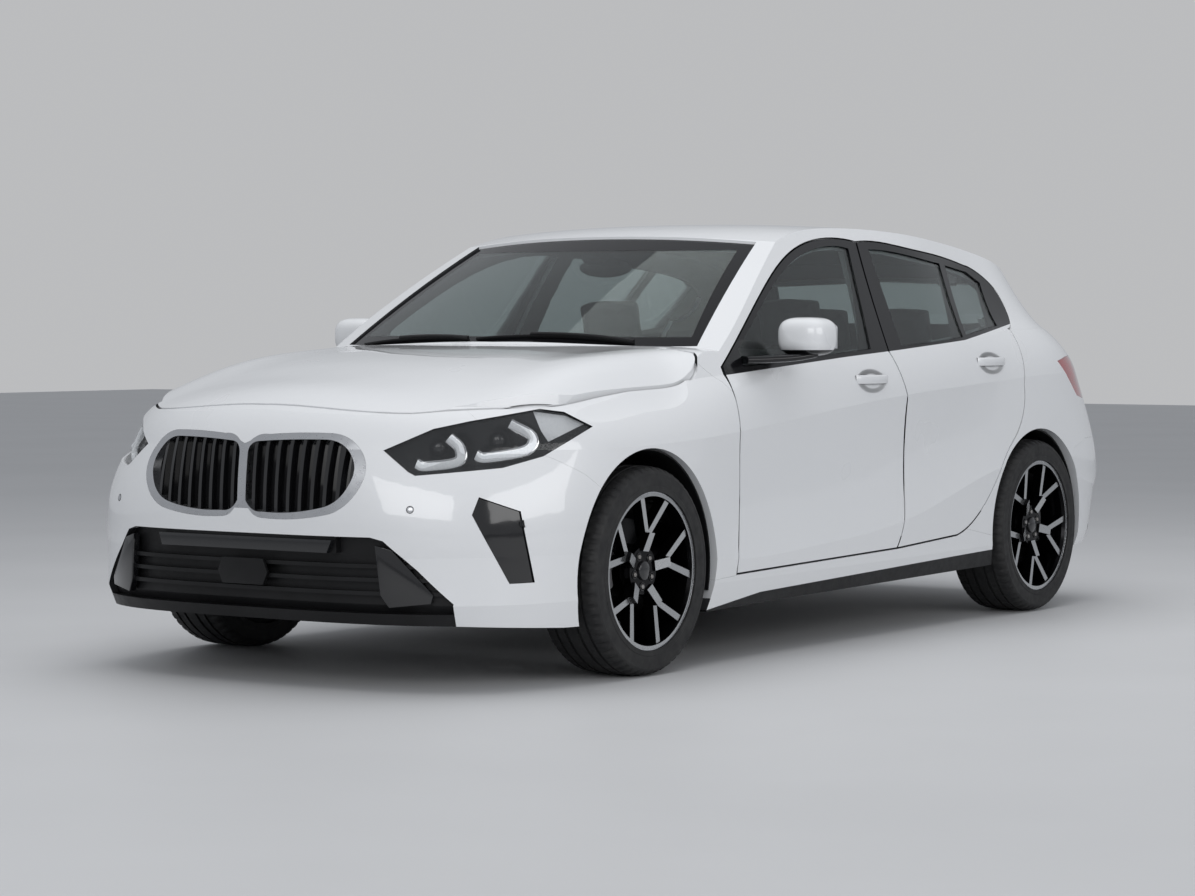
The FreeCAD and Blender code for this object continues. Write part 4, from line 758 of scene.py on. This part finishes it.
# Front intake: strip, radar cover and end blades
STRIP = [(-0.339, -2.158, 0.451), (0.344, -2.158, 0.451), (0.326, -2.158, 0.412), (-0.326, -2.158, 0.412)]
STRIP_DEPTH = (0, -0.018, 0)
RADAR = [(-0.080, -2.166, 0.386), (0.080, -2.166, 0.386), (0.098, -2.166, 0.345), (0.080, -2.166, 0.306),
         (-0.080, -2.166, 0.306), (-0.098, -2.166, 0.345)]
RADAR_DEPTH = (0, -0.012, 0)
BLADE = [(0.470, -2.118, 0.439), (0.520, -2.100, 0.425), (0.628, -2.040, 0.294), (0.622, -2.044, 0.268),
         (0.508, -2.098, 0.255), (0.485, -2.110, 0.292)]
BLADE_DEPTH = (0.008, -0.022, 0)


def add_intake():
    piece("intake_strip", slab(STRIP, STRIP_DEPTH), "dark_gloss")
    piece("radar_cover", slab(RADAR, RADAR_DEPTH, 0.004), "black_plastic")
    for hand in SIDES:
        piece(f"intake_blade_{hand}", on_side(slab(BLADE, BLADE_DEPTH, 0.003), hand), "gloss_black")


add_intake()

# Parking sensors, seated in the bumpers at these (x, z) as seen from a place beyond the bumper
SENSOR_SPOTS = {"front": [(0.53, 0.545), (0.78, 0.50)], "rear": [(0.25, 0.60), (0.62, 0.60)]}
SENSOR_AIM = {"front": 1.0, "rear": -1.0}
SENSOR_FAR = 3.0
SENSOR_WIDEN = 1.25
SENSOR_SLANT = 0.18
SENSOR = [(0.0, 0.0012), (0.0085, 0.0012), (0.0095, 0.0006), (0.0095, -0.004), (0.0, -0.004)]
SENSOR_RING = [(0.0098, 0.0007), (0.0112, 0.0007), (0.0116, 0.0), (0.0116, -0.004), (0.0098, -0.004)]


def add_sensors():
    hits = []
    for end, spots in SENSOR_SPOTS.items():
        bumper = Surface(f"{end}_bumper")
        aim = SENSOR_AIM[end]
        for x, z in spots:
            for side in SIDES.values():
                start = (side * x * SENSOR_WIDEN, -SENSOR_FAR * aim, z)
                hits.append(bumper.hit(start, (-side * SENSOR_SLANT * x, aim, 0.0)))
    eyes = join([turned([SENSOR], point, normal, 24) for point, normal in hits])
    piece("parking_sensors", eyes, "satin_silver")
    rings = join([turned([SENSOR_RING], point, normal, 24) for point, normal in hits])
    piece("sensor_rings", rings, "black_plastic")


add_sensors()

# Door handles, bowed across their hollows
BESIDE = 1.4
HANDLE_LENGTH = 0.21
HANDLE_UP = 0.006
HANDLE_BOW = 0.019
HANDLE_SINK = 0.004
HANDLE_SECTION = oval(0.031, 0.013, 16, 3.0)


def handle_path(end):
    """Points along the left door's skin, bowed away from it between the ends."""
    y, z = HANDLES[end]
    door = Surface(f"door_{end}_left")
    path = []
    for t in steps_of(16):
        point, _ = door.hit((BESIDE, y + HANDLE_LENGTH * (t - 0.5), z + HANDLE_UP), (-1, 0, 0))
        bow = HANDLE_BOW * math.sin(math.pi * t) ** 0.5
        path.append(point + Vector((bow - HANDLE_SINK, 0, 0)))
    return path


def add_handles():
    for end in ENDS:
        path = handle_path(end)
        for hand in SIDES:
            work = on_side(bar(path, HANDLE_SECTION, (1, 0, 0)), hand)
            piece(f"handle_{end}_{hand}", work, "white_paint", f"{end}_door_{hand}", 50.0)


add_handles()

# Windscreen wipers, from the (x, y) of the pivot to that of the tip
ABOVE = 2.0
WIPERS = {"left": ((0.52, -0.828), (-0.08, -0.884)), "right": ((-0.11, -0.886), (-0.62, -0.806))}
WIPER_STEPS = 14
WIPER_UP = (0, -0.5, 0.9)
WIPER_ARM = oval(0.013, 0.009, 12, 4.0)
WIPER_ARM_POINTS = 10
WIPER_ARM_LIFT = 0.016
WIPER_BLADE = oval(0.007, 0.013, 12, 3.0)
WIPER_BLADE_LIFT = 0.006


def lifted(hits, lift):
    """The (point, normal) hits as points that far off the surface."""
    return [point + normal * lift for point, normal in hits]


def add_wipers():
    """The arm follows the first part of the line, and the blade all of it."""
    screen = Surface("windscreen")
    for name, (pivot, tip) in WIPERS.items():
        line = [Vector(pivot).lerp(Vector(tip), t) for t in steps_of(WIPER_STEPS)]
        hits = [screen.hit((x, y, ABOVE), (0, 0, -1)) for x, y in line]
        arm = bar(lifted(hits[:WIPER_ARM_POINTS], WIPER_ARM_LIFT), WIPER_ARM, WIPER_UP)
        piece(f"wiper_arm_{name}", arm, "black_plastic")
        blade = bar(lifted(hits, WIPER_BLADE_LIFT), WIPER_BLADE, WIPER_UP)
        piece(f"wiper_blade_{name}", blade, "black_plastic")


add_wipers()

# Antenna fin at the back of the roof
FIN_START = 1.10
FIN_LENGTH = 0.17
FIN_STEPS = 12
FIN_SINK = 0.003
FIN_LEAST_RISE = 0.004
FIN_RISE = 0.040
FIN_LEAST_HALF = 0.003
FIN_HALF = 0.019


def fin_rise(t):
    """Height above the roof, from the low nose to the taller tail."""
    swell = math.sin(math.pi * (0.06 + 0.80 * t)) ** 1.4
    return FIN_LEAST_RISE + FIN_RISE * swell * (0.35 + 0.65 * t)


def fin_half_width(t):
    return FIN_LEAST_HALF + FIN_HALF * math.sin(math.pi * (0.08 + 0.78 * t))


def add_fin():
    roof = Surface("body_shell", "tailgate")
    work = bmesh.new()
    rings = []
    for t in steps_of(FIN_STEPS):
        y = FIN_START + FIN_LENGTH * t
        point, _ = roof.hit((0.0, y, ABOVE), (0, 0, -1))
        ring = []
        for turn in steps_of(FIN_STEPS):
            c, s = math.cos(math.pi * turn), math.sin(math.pi * turn)
            x = fin_half_width(t) * c * (1 - 0.5 * s)
            ring.append(work.verts.new((x, y, point.z - FIN_SINK + (fin_rise(t) + FIN_SINK) * s)))
        rings.append(ring)
    piece("roof_fin", skin(work, rings), "gloss_black")


add_fin()

# Door mirrors: a smooth housing in place of the plain one, on an arm from the door, and its glass
MIRROR_AT = Vector((0.941, -0.432, 1.048))
MIRROR_HALF = Vector((0.089, 0.080, 0.064))
MIRROR_REAR = -0.352
MIRROR_POWER = 0.62
MIRROR_ARM = [(0.822, -0.640, 0.972), (0.868, -0.580, 0.974), (0.915, -0.500, 0.979),
              (0.950, -0.430, 0.990)]
MIRROR_ARM_SECTION = oval(0.100, 0.026, 16, 3.0)
MIRROR_GLASS = [(0.874, 1.008), (0.874, 1.080), (0.890, 1.094), (0.992, 1.094), (1.008, 1.080),
                (1.008, 1.008)]
MIRROR_GLASS_SINK = 0.001
MIRROR_GLASS_DEPTH = 0.004


def mirror_housing():
    """Rounded box with a flat rear face."""
    shell = bmesh.new()
    bmesh.ops.create_uvsphere(shell, u_segments=48, v_segments=28, radius=1.0)
    for v in shell.verts:
        boxy = Vector([half * signed_power(c, MIRROR_POWER) for c, half in zip(v.co, MIRROR_HALF)])
        v.co = MIRROR_AT + boxy
        v.co.y = min(v.co.y, MIRROR_REAR)
    return shell


def add_mirrors():
    for hand in SIDES:
        arm = bar(smoothed(MIRROR_ARM), MIRROR_ARM_SECTION, (0, 0, 1))
        work = on_side(join([mirror_housing(), arm]), hand)
        made = piece(f"mirror_shell_{hand}", work, "mirror_paint", f"front_door_{hand}", 50.0)
        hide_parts(f"mirror_{hand}")
    for hand, side in SIDES.items():
        outline = [(side * x, MIRROR_REAR - MIRROR_GLASS_SINK, z) for x, z in MIRROR_GLASS]
        work = slab(outline, (0, MIRROR_GLASS_DEPTH, 0), 0.0015)
        piece(f"mirror_glass_{hand}", work, "bright_metal", f"front_door_{hand}")


add_mirrors()

# Inner mirror and the camera housing behind the top of the windscreen
INNER_MIRROR_AT = Vector((0, -0.235, 1.285))
INNER_MIRROR = [(0.0, 0.016), (0.020, 0.014), (0.032, 0.006), (0.034, -0.002), (0.030, -0.008),
                (0.0, -0.008)]
INNER_MIRROR_STRETCH = 3.3
HOUSING = [(-0.055, -0.27, 1.372), (0.055, -0.27, 1.372), (0.040, -0.33, 1.315), (-0.040, -0.33, 1.315)]
HOUSING_DEPTH = (0, 0.035, -0.022)


def add_inner_mirror():
    shell = turned([INNER_MIRROR], INNER_MIRROR_AT, (0, -1, 0), 32)
    from_centre = Matrix.Translation(-INNER_MIRROR_AT)
    bmesh.ops.scale(shell, verts=shell.verts, vec=(INNER_MIRROR_STRETCH, 1.0, 1.0), space=from_centre)
    piece("inner_mirror", shell, "gloss_black")
    piece("camera_housing", slab(HOUSING, HOUSING_DEPTH, 0.004), "black_plastic")


add_inner_mirror()

# Rear wiper, from the (x, z) of the pivot to that of the tip
BEHIND = 3.0
REAR_WIPER = ((0.02, 1.095), (-0.34, 1.083))
REAR_WIPER_STEPS = 12
REAR_WIPER_UP = (0, 1, 0)
REAR_ARM = oval(0.015, 0.010, 12, 4.0)
REAR_ARM_POINTS = 9
REAR_ARM_LIFT = 0.015
REAR_BLADE = oval(0.007, 0.012, 12, 3.0)
REAR_BLADE_LIFT = 0.007


def add_rear_wiper():
    tail = Surface("tailgate", "rear_bumper", "tailgate_glass")
    pivot, tip = REAR_WIPER
    line = [Vector(pivot).lerp(Vector(tip), t) for t in steps_of(REAR_WIPER_STEPS)]
    hits = [tail.hit((x, BEHIND, z), (0, -1, 0)) for x, z in line]
    arm = bar(lifted(hits[:REAR_ARM_POINTS], REAR_ARM_LIFT), REAR_ARM, REAR_WIPER_UP)
    piece("rear_wiper_arm", arm, "black_plastic", "hatch")
    blade = bar(lifted(hits, REAR_BLADE_LIFT), REAR_BLADE, REAR_WIPER_UP)
    piece("rear_wiper_blade", blade, "black_plastic", "hatch")


add_rear_wiper()

# Cabin: stuffed seats on their frames, tilted by radians, then the screen and air vents
PAD_INSET = 0.012
CORNER_DRAW = 0.07
PRESSURE = 4.0
SWELL_FRAMES = 12
CHANNEL_HALF = 0.014
CHANNEL_DEPTH = 0.006
CHANNEL_FACE = 0.25
SEAT_X = 0.39
BASE_TILT = 0.05
BACK_TILT = math.radians(-76)
REAR_REST_FROM_FRONT = (-SEAT_X, 0.885, -0.03)
REAR_REST_APART = 0.36
SEAT_FRAME = [(-0.20, -0.20), (0.20, -0.20), (0.20, 0.24), (-0.20, 0.24)]
SEAT_FRAME_TALL = 0.12
FLOOR_GAP = 0.002


def bake(made):
    """Applies what the object's modifiers do to its mesh."""
    bpy.context.view_layer.update()
    seen = made.evaluated_get(bpy.context.evaluated_depsgraph_get())
    mesh = bpy.data.meshes.new_from_object(seen)
    made.modifiers.clear()
    old = made.data
    made.data = mesh
    bpy.data.meshes.remove(old)


def rounded_block(size):
    """Block whose faces draw in towards its corners, a little smaller than the pad."""
    work = bmesh.new()
    bmesh.ops.create_cube(work, size=1.0)
    bmesh.ops.subdivide_edges(work, edges=work.edges[:], cuts=7, use_grid_fill=True)
    for v in work.verts:
        for axis in range(3):
            others = [abs(v.co[j]) * 2 for j in range(3) if j != axis]
            v.co[axis] *= 1.0 - CORNER_DRAW * max(others) ** 4
    bmesh.ops.scale(work, verts=work.verts, vec=Vector(size) - Vector((PAD_INSET,) * 3))
    return work


def swell(made):
    """Blows the pad up as cloth."""
    cloth = made.modifiers.new("cloth", "CLOTH")
    cloth.settings.use_pressure = True
    cloth.settings.uniform_pressure_force = PRESSURE
    cloth.settings.effector_weights.gravity = 0.0
    cloth.point_cache.frame_start = 1
    cloth.point_cache.frame_end = SWELL_FRAMES
    for step in range(1, SWELL_FRAMES + 1):
        scene.frame_set(step)
    bake(made)
    scene.frame_set(1)


def crowned(name, centre, size, tilt, channels=(), voxel=0.009, cap=0.012):
    """A stuffed pad: a rounded block blown up as cloth, with sewn channels at (axis, place)."""
    work = rounded_block(size)
    mesh = bpy.data.meshes.new(name)
    work.to_mesh(mesh)
    work.free()
    mesh.materials.append(finishes["seat_fabric"].material)
    made = bpy.data.objects.new(name, mesh)
    scene.collection.objects.link(made)
    remesh = made.modifiers.new("remesh", "REMESH")
    remesh.mode = "VOXEL"
    remesh.voxel_size = voxel
    bake(made)
    starts = [v.co.copy() for v in made.data.vertices]
    swell(made)
    for v, start in zip(made.data.vertices, starts):
        move = v.co - start
        if move.length > cap:
            v.co = start + move.normalized() * cap
        for axis, place in channels:
            away = abs(start[axis] - place) / CHANNEL_HALF
            if away < 1.0 and abs(v.co.z) > CHANNEL_FACE * size[2]:
                v.co.z -= math.copysign(CHANNEL_DEPTH * (1 - away) ** 2, v.co.z)
    made.data.shade_smooth()
    made.data.transform(Matrix.Translation(centre) @ Matrix.Rotation(tilt, 4, "X"))
    return made


def copied(made, name, move=(0.0, 0.0, 0.0), flip=False):
    other = made.copy()
    other.data = made.data.copy()
    other.name = name
    if flip:
        other.data.transform(Matrix.Scale(-1.0, 4, (1, 0, 0)))
        other.data.flip_normals()
    other.data.transform(Matrix.Translation(move))
    scene.collection.objects.link(other)
    return other


def make_pads(floor):
    """Every pad of the seats; the right seat mirrors the left, and the head rests repeat one."""
    base = crowned("seat_base_left", (SEAT_X, 0.0, floor + 0.19), (0.50, 0.50, 0.15), BASE_TILT,
                   [(0, 0.15), (0, -0.15), (1, 0.0)])
    back = crowned("seat_back_left", (SEAT_X, 0.24, floor + 0.50), (0.48, 0.58, 0.13), BACK_TILT,
                   [(0, 0.14), (0, -0.14), (1, -0.08)])
    rest = crowned("head_rest_left", (SEAT_X, 0.375, floor + 0.865), (0.25, 0.17, 0.085), BACK_TILT,
                   voxel=0.007, cap=0.008)
    bench = crowned("bench_base", (0.0, 0.93, floor + 0.20), (1.18, 0.46, 0.14), BASE_TILT,
                    [(0, 0.20), (0, -0.20)], voxel=0.012)
    bench_back = crowned("bench_back", (0.0, 1.13, floor + 0.50), (1.18, 0.56, 0.12), BACK_TILT,
                         [(0, 0.20), (0, -0.20)], voxel=0.012)
    pads = [base, back, rest, bench, bench_back]
    pads.append(copied(base, "seat_base_right", flip=True))
    pads.append(copied(back, "seat_back_right", flip=True))
    pads.append(copied(rest, "head_rest_right", flip=True))
    middle = copied(rest, "head_rest_rear_0", REAR_REST_FROM_FRONT)
    pads.append(middle)
    pads.append(copied(middle, "head_rest_rear_1", (REAR_REST_APART, 0.0, 0.0)))
    pads.append(copied(middle, "head_rest_rear_2", (-REAR_REST_APART, 0.0, 0.0)))
    return pads


def add_seats():
    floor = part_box("seats")[0][2]
    pads = make_pads(floor)
    for made in pads:
        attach(made, "chassis")
    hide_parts("seats")
    frames = []
    for side in SIDES.values():
        outline = [(side * SEAT_X + x, y, floor + FLOOR_GAP) for x, y in SEAT_FRAME]
        frames.append(slab(outline, (0, 0, SEAT_FRAME_TALL), 0.012))
    piece("seat_frames", join(frames), "dark_metal")


add_seats()

DASH_SCREEN = [(0.56, -0.43, 0.965), (-0.10, -0.43, 0.965), (-0.10, -0.405, 0.865), (0.56, -0.405, 0.865)]
DASH_SCREEN_DEPTH = (0, -0.012, 0.0)
VENT_CENTRES = (-0.60, -0.22, 0.22, 0.60)
VENT_HALF = 0.055
VENT_FACE = -0.405
VENT_BACK = -0.418
VENT_SLATS = 4
VENT_Z = 0.74
VENT_PITCH = 0.014
SLAT_LEAN = 0.004
SLAT_THICK = 0.003


def vent_slat(x, z):
    """Slat that leans up towards the back of the vent."""
    left, right = x - VENT_HALF, x + VENT_HALF
    outline = [(left, VENT_FACE, z), (right, VENT_FACE, z), (right, VENT_BACK, z + SLAT_LEAN),
               (left, VENT_BACK, z + SLAT_LEAN)]
    return slab(outline, (0, 0, SLAT_THICK), 0.0008)


def add_dash():
    piece("dash_screen", slab(DASH_SCREEN, DASH_SCREEN_DEPTH, 0.003), "gloss_black")
    slats = [vent_slat(x, VENT_Z + VENT_PITCH * k) for x in VENT_CENTRES for k in range(VENT_SLATS)]
    piece("air_vents", join(slats), "satin_silver")


add_dash()

# Studio: pale floor, pale surroundings, soft lamps
FLOOR_HALF = 30.0
FLOOR_DROP = 0.0005
SKY_LIGHT = (0.92, 0.95, 1.0, 1.0)
SKY_STRENGTH = 0.45
BACKDROP = (0.50, 0.505, 0.515, 1.0)


@finish
def studio_floor():
    made = Finish((0.56, 0.565, 0.575), 0.55)
    return made.shade(made.noise(0.8), (0.54, 0.545, 0.555)).bump(made.noise(60.0), 0.0003, 0.2)


def add_floor():
    mesh = bpy.data.meshes.new("floor")
    work = bmesh.new()
    bmesh.ops.create_grid(work, x_segments=24, y_segments=24, size=FLOOR_HALF)
    work.to_mesh(mesh)
    work.free()
    floor = bpy.data.objects.new("floor", mesh)
    scene.collection.objects.link(floor)
    floor.location.z = -FLOOR_DROP
    mesh.materials.append(finishes["studio_floor"].material)


def add_world():
    """One light from all round, and an even backdrop for the camera."""
    world = bpy.data.worlds.new("studio")
    scene.world = world
    world.use_nodes = True
    tree = world.node_tree
    light = tree.nodes["Background"]
    light.inputs["Color"].default_value = SKY_LIGHT
    light.inputs["Strength"].default_value = SKY_STRENGTH
    shown = tree.nodes.new("ShaderNodeBackground")
    shown.inputs["Color"].default_value = BACKDROP
    path = tree.nodes.new("ShaderNodeLightPath")
    mix = tree.nodes.new("ShaderNodeMixShader")
    tree.links.new(path.outputs["Is Camera Ray"], mix.inputs["Fac"])
    tree.links.new(light.outputs["Background"], mix.inputs[1])
    tree.links.new(shown.outputs["Background"], mix.inputs[2])
    tree.links.new(mix.outputs["Shader"], tree.nodes["World Output"].inputs["Surface"])


def add_lamp(name, place, target, width, height, power):
    data = bpy.data.lights.new(name, "AREA")
    data.shape = "RECTANGLE"
    data.size = width
    data.size_y = height
    data.energy = power
    lamp = bpy.data.objects.new(name, data)
    lamp.location = place
    lamp.rotation_mode = "QUATERNION"
    lamp.rotation_quaternion = (Vector(target) - Vector(place)).to_track_quat("-Z", "Y")
    scene.collection.objects.link(lamp)
    return lamp


def add_lamps():
    """The overhead lamp isn't mirrored in the paint and glass."""
    top = add_lamp("lamp_top", (0.0, 0.0, 5.5), (0.0, 0.0, 0.5), 5.0, 8.0, 215.0)
    top.visible_glossy = False
    add_lamp("lamp_front", (3.0, -8.5, 3.4), (0.0, -1.0, 0.7), 6.0, 3.0, 145.0)
    add_lamp("lamp_side", (8.0, -1.0, 3.0), (0.0, 0.3, 0.6), 7.0, 3.0, 140.0)


add_floor()
add_world()
add_lamps()
